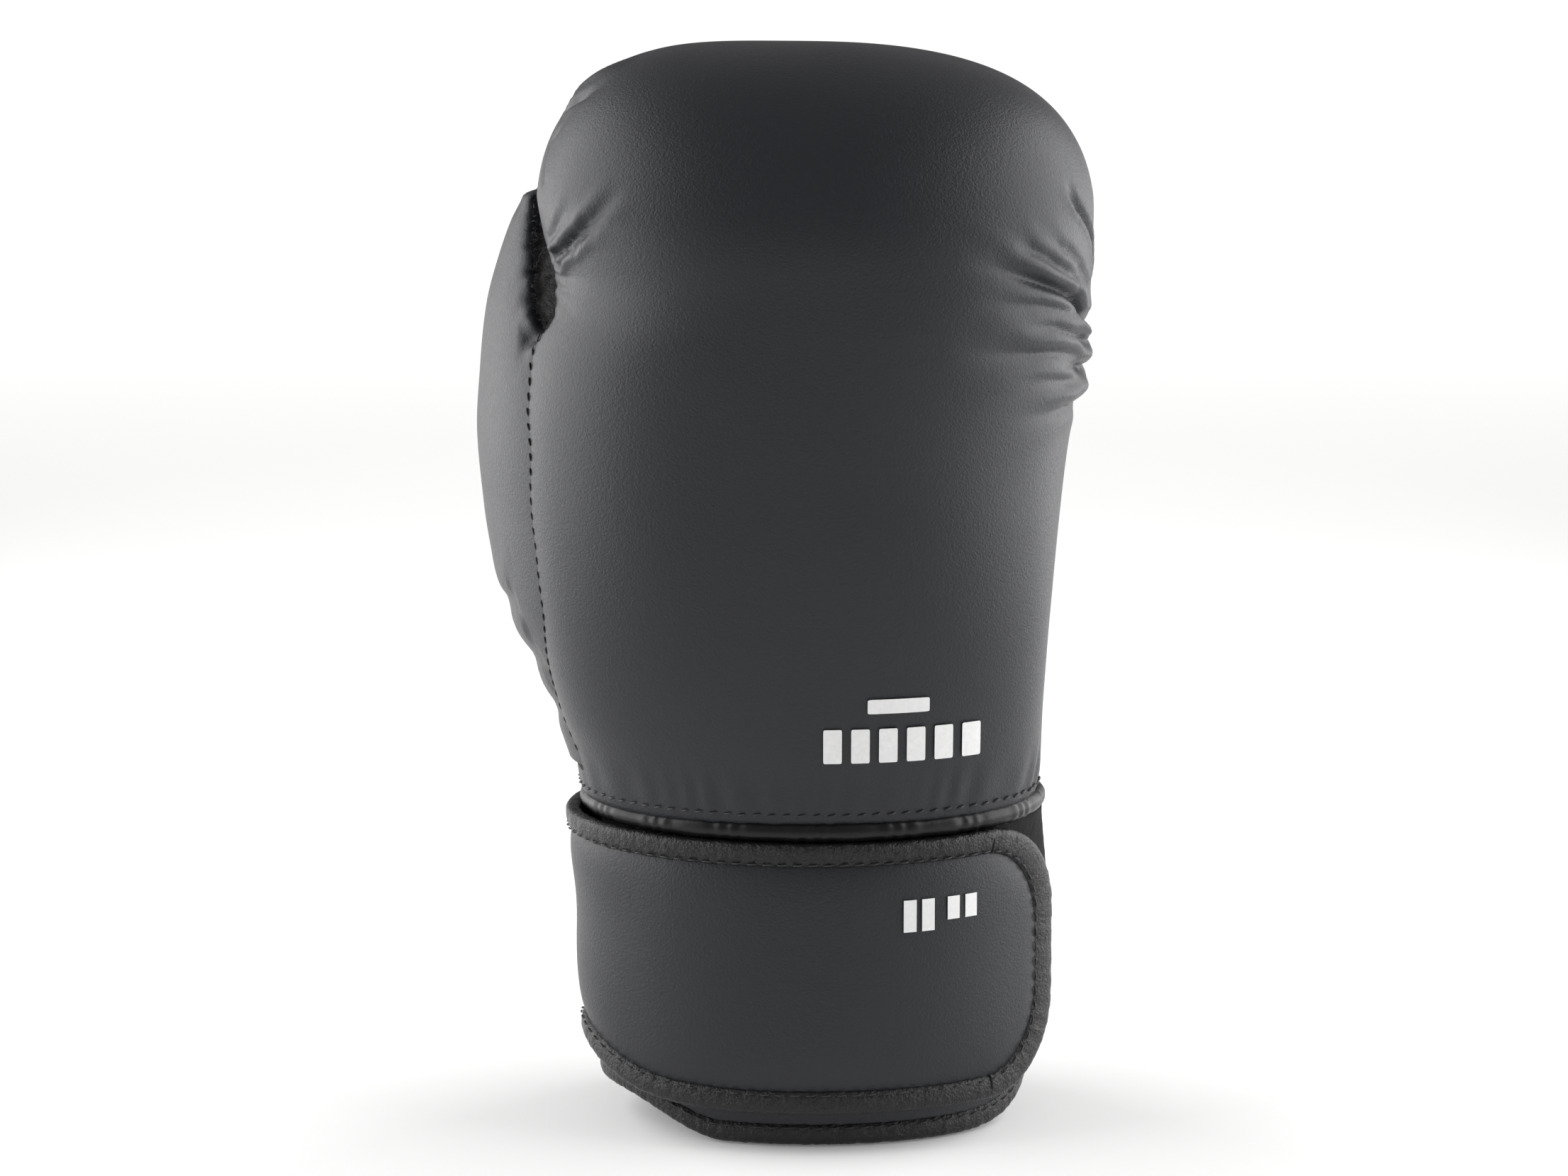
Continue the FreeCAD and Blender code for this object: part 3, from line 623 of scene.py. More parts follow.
# The free tip's inner edge rolls away behind the leather, which leaves the napped gap.
GAP_EDGE = 2.8
ragged = 0.35 * np.sin(thumb[..., 2] * 1.9) + 0.22 * np.sin(thumb[..., 2] * 4.3 + 1)
gap_start = -70.2 + 3.4 * smooth((221 - thumb[..., 2]) / 9) + ragged
in_gap = np.clip((thumb[..., 0] - gap_start) / 6.5, 0, 1) ** GAP_EDGE
in_gap *= smooth((thumb[..., 2] - 211.5) / 5) * (thumb_normal[..., 1] < 0.2)
thumb[..., 1] += 6.5 * in_gap
facing = thumb_normal @ np.array([math.cos(THUMB_TURN), math.sin(THUMB_TURN), 0.0])
napped_side = (facing[:-1] > 0.18) | (in_gap[:-1] > 0.75**GAP_EDGE)
thumb_leather = sewn_piece("thumb_leather", thumb, pole=("top", "bottom"), keep=~napped_side)
finished(thumb_leather, PANEL_LEATHER, "glove", "thumb_outer_panel", fill=0.9)
thumb_core = thumb_form(THUMB_ROWS, THUMB_COLUMNS, 4.0)
thumb_core[..., 2] = 98.0 + (thumb_core[..., 2] - 97.0) * 0.96
core_gap = smooth((thumb_core[..., 0] + 69) / 3) * smooth((thumb_core[..., 2] - 207) / 5)
thumb_core[..., 1] += 10.0 * core_gap * (outward(thumb_core)[..., 1] < 0.25)
thumb_padding = sewn_piece("thumb_padding_foam", thumb_core, pole=("top", "bottom"))
finished(thumb_padding, FOAM, "glove", "thumb_foam", fill=0.9, slot="foam")


def napped_cloth(name, dark, light, scale=900.0, depth=0.5):
    """Napped or felted cloth: a rough matte pile from two noises, with a soft sheen, and a colour
    painted lighter on the high pile and darker on the low pile as painted sheen and painted shade.
    """
    material, tree, shader, place = blank_material(name)
    pile = wired(tree, "ShaderNodeTexNoise", {
        "Vector": place, "Scale": scale, "Detail": 6.0, "Roughness": 0.75, "Distortion": 1.5})
    clump = wired(tree, "ShaderNodeTexNoise", {"Vector": place, "Scale": scale / 5, "Detail": 2.0})
    # Painted sheen and painted shade: the colour follows the pile noise that also raises the bump.
    toned(tree, shader, pile.outputs["Fac"], dark, light)
    shader.inputs["Roughness"].default_value = 0.95
    shader.inputs["Specular IOR Level"].default_value = 0.15
    shader.inputs["Sheen Weight"].default_value = 0.06
    shader.inputs["Sheen Roughness"].default_value = 0.5
    bumped(tree, shader, combined(tree, "ADD", pile.outputs["Fac"], clump.outputs["Fac"]), depth)
    return material


# The pile's light end is far paler than black cloth: painted light on the nap in the thumb gap,
# where little light reaches.
NAPPED_CLOTH = napped_cloth("napped_black_cloth", (0.022, 0.022, 0.023), (0.15, 0.15, 0.155))
nap_waves = 0.5 * ripple(thumb, 3.0, 21) + 0.4 * ripple(thumb, 1.4, 22)
nap = thumb + thumb_normal * nap_waves[..., None]
thumb_nap = sewn_piece("thumb_napped_lining", nap, keep=napped_side)
finished(thumb_nap, NAPPED_CLOTH, "glove", "thumb_inner_panel", slot="napped_fabric")
# Tufts of the nap that stand in the gap: thin closed spikes of four faces.
TUFTS = 5200
chance = np.random.default_rng(5)
shown = np.argwhere(
    napped_side & (nap[:-1, :, 2] > 210) & (nap[:-1, :, 2] < 242) & (nap[:-1, :, 1] < 16))
shown = shown[chance.integers(0, len(shown), TUFTS)]
root = nap[shown[:, 0], shown[:, 1]] + chance.normal(size=(TUFTS, 3)) * 0.4
hair = thumb_normal[shown[:, 0], shown[:, 1]] + chance.normal(size=(TUFTS, 3)) * 0.75
hair /= np.linalg.norm(hair, axis=1, keepdims=True)
side = np.cross(hair, [0.31, 0.2, 0.93])
side /= np.linalg.norm(side, axis=1, keepdims=True)
other = np.cross(hair, side)
tuft = np.stack([
    root + side * 0.12, root - side * 0.06 + other * 0.1, root - side * 0.06 - other * 0.1,
    root + hair * chance.uniform(0.9, 2.3, (TUFTS, 1))], axis=1)
index = np.arange(TUFTS * 4).reshape(TUFTS, 4)
tufts = piece_of("thumb_nap_tufts", tuft.reshape(-1, 3), np.concatenate(
    [index[:, [0, 1, 3]], index[:, [1, 2, 3]], index[:, [2, 0, 3]], index[:, [2, 1, 0]]]).tolist())
finished(tufts, NAPPED_CLOTH, "glove", slot="napped_fabric")

# =============================================================================================
# Seam threads.  Black bonded thread, lock-stitched; each visible stitch is a short rounded bar
# that sinks into the leather at both ends.
# =============================================================================================

THREAD = coated_leather(
    "black_thread", (0.010, 0.010, 0.011), (0.022, 0.022, 0.023), 0.55, 0.18, 0.06)


def along_path(path, pitch):
    """Points at a fixed pitch on a bent path, with the direction of the path at each."""
    run = np.concatenate([[0], np.cumsum(np.linalg.norm(np.diff(path, axis=0), axis=1))])
    count = max(int(run[-1] / pitch), 2)
    stops = (np.arange(count) + 0.5) * run[-1] / count
    at = np.stack([np.interp(stops, run, path[:, k]) for k in range(3)], axis=-1)
    ahead = np.stack([np.interp(stops + 0.5, run, path[:, k]) for k in range(3)], axis=-1)
    behind = np.stack([np.interp(stops - 0.5, run, path[:, k]) for k in range(3)], axis=-1)
    way = ahead - behind
    return at, way / np.linalg.norm(way, axis=1, keepdims=True), stops / run[-1]


def stitched(name, path, up, pitch=4.0, length=3.1, thick=0.62, slant=0.16, lift=0.1):
    """A row of stitches: each is a bowed tube with pointed ends, laid along the path and turned a
    little; up gives the outward direction at every path point."""
    at, way, share = along_path(path, pitch)
    ups = np.stack([
        np.interp(share, np.linspace(0, 1, len(up)), up[:, k]) for k in range(3)], axis=-1)
    ups -= way * (ups * way).sum(axis=1, keepdims=True)
    ups /= np.linalg.norm(ups, axis=1, keepdims=True)
    side = np.cross(ups, way)
    way = way + side * slant
    way /= np.linalg.norm(way, axis=1, keepdims=True)
    side = np.cross(ups, way)
    run = np.linspace(-1, 1, 7)
    ring = np.linspace(0, 2 * math.pi, 6, endpoint=False)
    body = np.sqrt(np.clip(1 - np.abs(run) ** 3, 0.02, 1)) * thick / 2
    bow = lift - 0.5 * run**4
    centre = (
        at[:, None] + way[:, None] * (run * length / 2)[None, :, None]
        + ups[:, None] * bow[None, :, None]
    )
    points = (
        centre[:, :, None]
        + side[:, None, None] * (body[:, None] * np.cos(ring))[None, :, :, None]
        + ups[:, None, None] * (body[:, None] * np.sin(ring))[None, :, :, None]
    )
    count = len(at)
    index = np.arange(count * 7 * 6).reshape(count, 7, 6)
    right = np.roll(index, -1, axis=2)
    faces = np.stack([index[:, :-1], right[:, :-1], right[:, 1:], index[:, 1:]], axis=-1)
    faces = faces.reshape(-1, 4).tolist()
    faces += index[:, 0, ::-1].tolist() + index[:, -1].tolist()
    piece = piece_of(name, points.reshape(-1, 3), faces)
    piece.data.shade_smooth()
    return piece


def thumb_seam(heights, offset):
    """The line where the thumb leaves the back panel: for each height, the front place where the
    hand's outline crosses the thumb's ellipse."""
    points, ups = [], []
    for height in heights:
        x, y, wide, deep = [float(v) for v in thumb_frame(height)]
        grow = float(valley_gap(height))
        turn = np.linspace(math.pi, 1.5 * math.pi + 0.5, 400)
        across, along = (wide + grow) * np.cos(turn), (deep + grow) * np.sin(turn)
        px = x + across * math.cos(THUMB_TURN) - along * math.sin(THUMB_TURN)
        py = y + across * math.sin(THUMB_TURN) + along * math.cos(THUMB_TURN)
        off = py - front_y(px, np.full_like(px, height))
        hit = np.flatnonzero((off[:-1] < 0) & (off[1:] >= 0))
        k = hit[0] if len(hit) else int(np.argmin(np.abs(off)))
        up = np.array([-0.72, -0.69, 0.0])
        points.append(np.array([px[k], py[k], height]) + up * offset)
        ups.append(up)
    return np.array(points), np.array(ups)


seam_points, seam_ups = thumb_seam(np.linspace(100, 214, 80), 0.05)
thumb_stitches = stitched("thumb_seam_stitches", seam_points, seam_ups, 3.9, 2.6, 0.6, 0.3)
finished(thumb_stitches, THREAD, "glove")

# =============================================================================================
# Wrist welt.  A roll of glossy coated fabric round a cord, sewn between the hand and the cuff with
# one row of stitches above it and one below.
# =============================================================================================

CUFF_X, CUFF_Y, CUFF_WIDE, CUFF_DEEP = 7.6, -1.0, 56.0, 38.5
GLOSSY_TAPE = coated_leather(
    "glossy_wrinkled_tape", (0.004, 0.0043, 0.0052), (0.008, 0.0085, 0.010), 0.30, 0.6, 0.30, 0.36,
    1.2)
WELT_VINYL = coated_leather(
    "smooth_black_vinyl", (0.004, 0.0042, 0.0048), (0.007, 0.0073, 0.008), 0.33, 0.9, 0.05, 0.30)


def round_cuff(angle, out, height):
    """A point on the cuff's ellipse moved out: the angle runs from the back (0) by the
    little-finger side (90 degrees) to the palm (180)."""
    angle, out, height = np.broadcast_arrays(angle, out, height)
    return np.stack([
        CUFF_X + (CUFF_WIDE + out) * np.sin(angle),
        CUFF_Y - (CUFF_DEEP + out) * np.cos(angle),
        height,
    ], axis=-1)


def cuff_outward(angle):
    """The ellipse's unit outward direction at an angle."""
    way = np.stack([
        np.sin(angle) / CUFF_WIDE, -np.cos(angle) / CUFF_DEEP, np.zeros_like(angle)], axis=-1)
    return way / np.linalg.norm(way, axis=-1, keepdims=True)


def rolled(path_angle, out, height, radius, columns=20):
    """A round roll carried round the cuff: a circle of the given radius at each angle."""
    ring = np.linspace(0, 2 * math.pi, columns, endpoint=False)
    return round_cuff(
        path_angle[:, None], out + radius * np.cos(ring)[None, :],
        height + radius * np.sin(ring)[None, :],
    )


full_turn = np.linspace(0, 2 * math.pi, 700, endpoint=False)
WELT_OUT, WELT_HIGH, WELT_RADIUS = 2.9, 86.1, 2.8
welt = np.swapaxes(rolled(full_turn, WELT_OUT, WELT_HIGH, WELT_RADIUS), 0, 1)
# Fine pinches where the two rows of stitches pull the roll in.
pinch = 0.12 * np.sin(full_turn * 61 + 3 * np.sin(full_turn * 17))
welt = welt - outward(welt) * pinch[None, :, None]
wrist_welt = sewn_piece("wrist_welt_roll", np.concatenate([welt, welt[:1]], axis=0))
finished(wrist_welt, WELT_VINYL, "glove", "wrist_welt", slot="gloss_trim")
UPPER_ROW_HIGH, LOWER_ROW_OUT, LOWER_ROW_HIGH = 91.0, 1.2, 82.6
edge_row = int(np.argmin(np.abs(hand[:, 0, 2] - UPPER_ROW_HIGH)))
upper_row = stitched(
    "welt_upper_stitches", hand[edge_row] + 0.15 * hand_normal[edge_row], hand_normal[edge_row],
    3.9, 2.7, 0.7, 0.25)
finished(upper_row, THREAD, "glove")
turn_row = np.linspace(0, 2 * math.pi, 500)
lower_row = stitched(
    "welt_lower_stitches", round_cuff(turn_row, LOWER_ROW_OUT, LOWER_ROW_HIGH),
    cuff_outward(turn_row), 3.9, 2.6, 0.6, 0.25)
finished(lower_row, THREAD, "glove")

# =============================================================================================
# Cuff.  A padded tube of the same leather with a slit on the palm side; its lower edge is bound
# with glossy wrinkled tape, and the inside is lined with woven cloth.
# =============================================================================================

SLIT_HALF, SLIT_TOP = 10.0, 68.0


def hem_lift(angle):
    """The lower edge rises at the sides: early on the thumb side, late on the other."""
    side = np.sin(angle)
    return 9.3 * smooth((-side - 0.42) / 0.53) + 7.0 * np.clip(side, 0, 1) ** 12


def little_finger_bulge(angle, height):
    """How far the padded cuff swells beyond its ellipse on the little-finger side."""
    turn = np.degrees(angle) % 360
    rise = np.clip((turn - 64) / 22, 0, 1) * np.clip((150 - turn) / 40, 0, 1)
    high = 1 - 0.32 * np.clip((height - 62) / 19, 0, 1)
    return 5.0 * smooth(rise) * smooth((height - 10) / 20) * high


cuff_angle = np.linspace(0, 2 * math.pi, 600, endpoint=False)
cuff_rows = np.linspace(0, 1, 60)
CUFF_FOOT, CUFF_TOP = 5.0, 85.0
cuff_low = CUFF_FOOT + hem_lift(cuff_angle)[None, :]
cuff_height = cuff_low + cuff_rows[:, None] * (CUFF_TOP - cuff_low)
cuff = round_cuff(
    cuff_angle[None, :], little_finger_bulge(cuff_angle[None, :], cuff_height), cuff_height)
slit_faces = (
    (np.abs(cuff[..., 0] - CUFF_X) < SLIT_HALF) & (cuff[..., 1] > 0) & (cuff[..., 2] < SLIT_TOP)
)
cuff_keep = ~(slit_faces[:-1] | np.roll(slit_faces, -1, axis=1)[:-1])
cuff_leather = sewn_piece("cuff_leather_tube", cuff, keep=cuff_keep)
given_wall(cuff_leather, 1.3)
finished(cuff_leather, PANEL_LEATHER, "glove", "cuff_leather", fill=0.5)

cuff_padding = given_wall(sewn_piece("cuff_padding_foam", round_cuff(
    cuff_angle[None, :], little_finger_bulge(cuff_angle[None, :], cuff_height) - 1.6,
    cuff_height - 1.0), keep=cuff_keep), 5.2)
finished(cuff_padding, FOAM, "glove", "cuff_foam", fill=0.9, slot="foam")
LINING_CLOTH = napped_cloth(
    "woven_lining", (0.010, 0.010, 0.011), (0.030, 0.030, 0.032), 1400.0, 0.15)
lining_grid = round_cuff(
    cuff_angle[None, ::-1], -8.0 + 0.2 * np.sin(cuff_angle * 23)[None, :] * np.ones((60, 1)),
    cuff_height[:, ::-1] - 1.5,
)
cuff_lining = sewn_piece("cuff_lining_cloth", lining_grid, keep=cuff_keep[:, ::-1])
given_wall(cuff_lining, 1.0)
finished(cuff_lining, LINING_CLOTH, "glove", "cuff_lining", slot="lining_cloth")


def bound_edge(angle, low, wall, height, thick, columns=28):
    """A tape folded over the lower edge: a tall rounded U section carried round the cuff."""
    ring = np.linspace(0, 2 * math.pi, columns, endpoint=False)
    out = -wall / 2 + (wall / 2 + thick) * signed_power(np.cos(ring), 0.45)
    rise = height / 2 + height / 2 * signed_power(np.sin(ring), 0.7)
    return round_cuff(angle[:, None], out[None, :], low[:, None] + rise[None, :])


SLIT_ANGLE = math.asin(SLIT_HALF / CUFF_WIDE)
hem_angle = np.linspace(-math.pi + SLIT_ANGLE, math.pi - SLIT_ANGLE, 900)
hem = bound_edge(hem_angle, hem_lift(hem_angle), 8.4, 6.6, 0.8)
hem = np.swapaxes(hem, 0, 1)
hem = np.concatenate([hem, hem[:1]], axis=0)
hem_normal = outward(hem, closed=False)
round_tape, along = np.meshgrid(
    np.linspace(0, 2 * math.pi, hem.shape[0]), hem_angle * 50, indexing="ij")
lie = np.stack([along, np.cos(round_tape), np.sin(round_tape)], axis=-1)
hem = hem + hem_normal * (0.15 * ripple(lie, 3.2, 31) + 0.08 * ripple(lie, 1.5, 32))[..., None]
hem[..., 2] = np.maximum(hem[..., 2], 0.0)
hem[-1] = hem[0]
hem_tape = sewn_piece("hem_binding_tape", hem, closed=False, capped=True)
finished(hem_tape, GLOSSY_TAPE, "glove", "hem_binding", slot="gloss_trim")
hem_row = np.linspace(-math.pi + SLIT_ANGLE, math.pi - SLIT_ANGLE, 500)
hem_stitches = stitched(
    "hem_stitches", round_cuff(hem_row, 1.0, 5.2 + hem_lift(hem_row)), cuff_outward(hem_row),
    4.0, 2.8, 0.5, 0.1)
finished(hem_stitches, THREAD, "glove")

# =============================================================================================
# Loop pad.  A sheet of black loop pile sewn flat round the back and the little-finger side of the
# cuff, under the strap; its edge shows beside the strap's free end.
# =============================================================================================

LOOP_PILE = napped_cloth("loop_pile", (0.006, 0.006, 0.0065), (0.030, 0.030, 0.031), 1100.0, 0.6)
loop_angle = np.linspace(math.radians(-62), math.radians(105), 330)
loop_height = np.linspace(14.0, 83.0, 110)
loop = round_cuff(
    loop_angle[None, :], 1.45 + little_finger_bulge(loop_angle[None, :], loop_height[:, None]),
    loop_height[:, None])
loop = loop + cuff_outward(loop_angle)[None, :] * (0.12 * ripple(loop, 2.4, 41))[..., None]
loop_pad = sewn_piece("loop_pad_pile", loop, closed=False)
given_wall(loop_pad, 1.2)
finished(loop_pad, LOOP_PILE, "glove", "loop_pad", slot="hook_and_loop")

# =============================================================================================
# Strap.  A padded leather strap about 73 mm wide, sewn to the palm side of the cuff, that passes
# round the thumb side and over the back; its edge is bound all round with glossy wrinkled tape.
# It comes down to the cuff at its sewn end and leans out at its top where it passes the thumb
# side.
# =============================================================================================

STRAP_IN = 3.0
STRAP_LOW, STRAP_HIGH = 10.5, 83.5
STRAP_CORNER = 25.0
BINDING = 6.3

LIFT_ANGLE = 56.0
strap_turn = np.radians(np.linspace(-300.0, LIFT_ANGLE, 7121))
strap_x = CUFF_X + (CUFF_WIDE + 5) * np.sin(strap_turn)
strap_y = CUFF_Y - (CUFF_DEEP + 5) * np.cos(strap_turn)
strap_face = np.unwrap(np.arctan2(
    np.sin(strap_turn) / (CUFF_WIDE + 5), np.cos(strap_turn) / (CUFF_DEEP + 5)))
strap_run = np.concatenate([[0], np.cumsum(np.hypot(np.diff(strap_x), np.diff(strap_y)))])
# Past the last angle the strap's end lies flatter than the cuff.
tail_run = np.arange(0.1, 30.0, 0.1)
tail_face = strap_face[-1] + tail_run * 0.0075
tail_x = strap_x[-1] + np.cumsum(np.cos(tail_face)) * 0.1
tail_y = strap_y[-1] + np.cumsum(np.sin(tail_face)) * 0.1
path_run = np.concatenate([strap_run, strap_run[-1] + tail_run])
path_x, path_y = np.concatenate([strap_x, tail_x]), np.concatenate([strap_y, tail_y])
path_face = np.concatenate([strap_face, tail_face])


def run_at(degrees):
    """The length along the strap at an angle round the cuff."""
    return float(np.interp(math.radians(degrees), strap_turn, strap_run))


THUMB_FOLD = run_at(-90)
SPLIT = run_at(-180)
SEWN = run_at(-180 - 68)
ROOT_FOLD = run_at(-180 - 38)
FREE_END = strap_run[-1] + 18.4
END_EXTRA = 2.9


def strap_low(run):
    """The strap's lower edge rises where it passes the thumb side."""
    return STRAP_LOW + 10.0 * np.exp(-(((run - THUMB_FOLD) / 28.0) ** 2))


def strap_stand(run):
    """How far the strap's inner face stands off the cuff: it comes down to the sewn end."""
    return 0.5 + (STRAP_IN - 0.5) * smooth((run - SEWN) / (ROOT_FOLD - SEWN))


def edge_heights(run, inset):
    """Lower and upper edges of the strap at a run, drawn in by inset, round at the free end."""
    low, high = strap_low(run) + inset, np.full_like(run, STRAP_HIGH - inset)
    corner = STRAP_CORNER - inset
    past = np.clip((run - (FREE_END - STRAP_CORNER)) / corner, 0, 1)
    cut = corner - corner * np.sqrt(1 - past**2)
    return low + cut, high - cut


def placed(run, height, out):
    """A point of the strap from its run, height and distance out from the strap's inner face; the
    strap leans out at its top where it passes the thumb side."""
    run, height, out = np.broadcast_arrays(run, height, out)
    lean = 2.4 * (height - 47) / 36 * np.exp(-(((run - THUMB_FOLD) / 34.0) ** 2))
    waist = 1.3 * np.exp(-(((height - 58) / 13) ** 2) - ((run - THUMB_FOLD) / 26.0) ** 2)
    away = strap_stand(run) + out + lean - waist - 5.0
    face = np.interp(run, path_run, path_face)
    return np.stack([
        np.interp(run, path_run, path_x) + away * np.sin(face),
        np.interp(run, path_run, path_y) - away * np.cos(face),
        height,
    ], axis=-1)


def strap_outward(run):
    """The strap's unit outward direction at a run."""
    face = np.interp(run, path_run, path_face)
    return np.stack([np.sin(face), -np.cos(face), np.zeros_like(face)], axis=-1)


def padded_strap(runs, inset, crown, thick, across=70):
    """The strap's body: at each run a closed section whose outer side is crowned between the
    edges by (1 - q^6) and whose inner side is flat."""
    q = np.concatenate([np.linspace(-1, 1, across), np.linspace(1, -1, across)[1:-1]])
    outer = np.concatenate([np.ones(across), np.zeros(across - 2)])
    near_end = np.clip((runs - FREE_END + 45) / 30, 0, 1)
    low, high = edge_heights(runs + END_EXTRA * near_end, inset)
    height = (low + high)[:, None] / 2 + q[None, :] * ((high - low) / 2)[:, None]
    hump = 1 - np.abs(q) ** 6
    end = np.clip((FREE_END - END_EXTRA - inset - runs) / 9.0, 0, 1)
    end = 1 - (1 - end) ** 3
    out = np.where(outer > 0, thick - 1.0 + (1.0 + crown * end[:, None]) * hump[None, :], 0.3)
    return placed(runs[:, None], height, out)


def strap_runs(start, stop, count, free):
    """Stations along the strap, close together at a rounded free end."""
    if not free:
        return np.linspace(start, stop, count)
    share = np.linspace(0, 1, count)
    round_end = 0.86 + 0.14 * np.sin((share - 0.7) / 0.3 * math.pi / 2)
    bent = np.where(share < 0.7, share / 0.7 * 0.86, round_end)
    return start + (stop - start) * bent


def strap_body(name, start, stop, free, body_count):
    """A length of the strap's padded body, closed at both ends."""
    runs = strap_runs(start, stop, body_count, free)
    grid = padded_strap(runs, BINDING - 1.2, 0.9, 3.6)
    normal = outward(grid)
    grid = grid + normal * (0.16 * ripple(grid, 30.0, 51))[..., None]
    return sewn_piece(name, grid[:, ::-1], pole=("top", "bottom"))


def outline(start, stop, free, inset, step=0.6):
    """The strap's edge as runs and heights, in order: along the lower edge, round the free end and
    back along the upper edge; or the two edges apart when the length has no free end."""
    if not free:
        runs = np.arange(start, stop, step)
        low, high = edge_heights(runs, inset)
        return [(runs, low), (runs[::-1], high[::-1])]
    straight = np.arange(start, FREE_END - STRAP_CORNER, step)
    bend = np.linspace(0, math.pi / 2, 60)
    corner = STRAP_CORNER - inset
    bend_run = FREE_END - STRAP_CORNER + corner * np.sin(bend)
    low, high = edge_heights(straight, inset)
    low_end, high_end = STRAP_LOW + inset, STRAP_HIGH - inset
    side = np.linspace(low_end + corner, high_end - corner, 40)[1:-1]
    runs = np.concatenate([
        straight, bend_run, np.full(38, FREE_END - inset), bend_run[::-1], straight[::-1]])
    heights = np.concatenate([
        low, low_end + corner * (1 - np.cos(bend)), side,
        high_end - corner * (1 - np.cos(bend[::-1])), high[::-1]])
    return [(runs, heights)]


def edge_tape(name, runs, heights, columns=26):
    """The binding: a flattened tube carried along the edge, fat at its outer fold and pinched at
    its sewn inner side, and crumpled by fine waves."""
    way = np.stack([np.gradient(runs), np.gradient(heights)], axis=-1)
    way /= np.maximum(np.linalg.norm(way, axis=1, keepdims=True), 1e-9)
    inward = np.stack([-way[:, 1], way[:, 0]], axis=-1)
    ring = np.linspace(0, 2 * math.pi, columns, endpoint=False)
    share = (1 - signed_power(np.cos(ring), 0.75)) / 2
    wide = BINDING + END_EXTRA * np.clip(-inward[:, 0], 0, 1) * (runs > THUMB_FOLD + 60)
    half = 2.25 * (1 - 0.22 * share**2)
    swell = 2.2 + half * signed_power(np.sin(ring), 0.6)
    run = runs[:, None] + inward[:, :1] * wide[:, None] * share[None, :]
    height = heights[:, None] + inward[:, 1:] * wide[:, None] * share[None, :]
    grid = placed(run, height, swell[None, :])
    grid = np.swapaxes(grid, 0, 1)
    grid = np.concatenate([grid, grid[:1]], axis=0)
    normal = outward(grid, closed=False)
    far = np.concatenate([[0], np.cumsum(np.hypot(np.diff(runs), np.diff(heights)))])
    round_tape, along = np.meshgrid(np.linspace(0, 2 * math.pi, columns + 1), far, indexing="ij")
    lie = np.stack([along, np.cos(round_tape), np.sin(round_tape)], axis=-1)
    crumple = 0.15 * ripple(lie, 3.2, 61) + 0.08 * ripple(lie, 1.5, 62)
    grid = grid + normal * crumple[..., None]
    grid[-1] = grid[0]
    return sewn_piece(name, grid, closed=False, capped=True)


def joined(name, pieces):
    """Several pieces as one mesh."""
    bpy.ops.object.select_all(action="DESELECT")
    for piece in pieces:
        piece.select_set(True)
    bpy.context.view_layer.objects.active = pieces[0]
    if len(pieces) > 1:
        bpy.ops.object.join()
    pieces[0].name = name
    return pieces[0]


def edge_stitches(name, start, stop, free):
    """Stitches near the tape's inner side."""
    rows = []
    for runs, heights in outline(start, stop, free, BINDING - 0.9):
        near_end = np.clip((runs - FREE_END + 45) / 30, 0, 1) if free else 0 * runs
        path = placed(runs - END_EXTRA * near_end, heights, 4.15)
        ups = strap_outward(runs)
        rows.append(stitched(f"{name}_{len(rows)}", path, ups, 4.0, 2.8, 0.5, 0.08))
    return joined(name, rows)


THUMB_BEND = dict(start=(-0.060, 0.014, 0.047), end=(-0.048, -0.014, 0.047))
ROOT_BEND = dict(start=(0.058, 0.028, 0.047), end=(0.034, 0.041, 0.047))
LENGTHS = (
    ("strap_back", SPLIT, FREE_END, True, 420, ("strap_palm", "strap_back"), THUMB_BEND,
     ("strap_back_face", "strap_back_pad", "strap_back_lining")),
    ("strap_palm", SEWN, SPLIT, False, 160, ("glove", "strap_palm"), ROOT_BEND,
     ("strap_palm_face", "strap_palm_pad", "strap_palm_lining", "strap_anchor")),
)
for side, start, stop, free, count, bodies, bend, nodes in LENGTHS:
    body_stop = stop - BINDING + 1.2 - END_EXTRA if free else stop
    body = strap_body(f"{side}_padded_body", start, body_stop, free, count)
    finished(body, PANEL_LEATHER, None, *nodes, fill=0.6)
    tape = joined(f"{side}_binding_tape", [
        edge_tape(f"{side}_tape_{k}", runs, heights)
        for k, (runs, heights) in enumerate(outline(start, stop, free, 0.0))])
    finished(tape, GLOSSY_TAPE, None, f"{side}_binding", slot="gloss_trim")
    threads = edge_stitches(f"{side}_edge_stitches", start, stop, free)
    finished(threads, THREAD, None)
    for piece in (body, tape, threads):
        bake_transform(piece)

# =============================================================================================
# Hook pad.  A patch of stiff plastic hooks sewn to the inner side of the strap's free end.
# =============================================================================================

HOOKS = napped_cloth("hook_tape", (0.008, 0.008, 0.008), (0.035, 0.035, 0.036), 1600.0, 0.5)
hook_runs = np.linspace(run_at(14), FREE_END - 10.0, 120)
hook_q = np.linspace(-1, 1, 60)
hook_low, hook_high = edge_heights(hook_runs, 10.0)
hook_middle, hook_half = (hook_low + hook_high) / 2, (hook_high - hook_low) / 2
hook_height = hook_middle[:, None] + hook_q[None, :] * hook_half[:, None]
hook_grid = placed(hook_runs[:, None], hook_height, 0.25)
hook_pad = sewn_piece("hook_pad_tape", hook_grid, closed=False)
given_wall(hook_pad, 1.1)
finished(hook_pad, HOOKS, "strap_back", "hook_pad", slot="hook_and_loop")

# =============================================================================================
# Linings, pads and grip bar inside.  Foam and cloth that show only through the cuff's mouth.
# =============================================================================================

for node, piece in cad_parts.items():
    if piece.hide_render:
        continue
    if "foam" in node or node == "grip_bar":
        material = FOAM
    elif node == "slit_binding":
        material = GLOSSY_TAPE
    else:
        material = LINING_CLOTH
    piece.data.materials.clear()
    piece.data.materials.append(material)

# =============================================================================================
# Prints.  Plain white marks in place of any name: bars on the back panel and on the strap.
# =============================================================================================

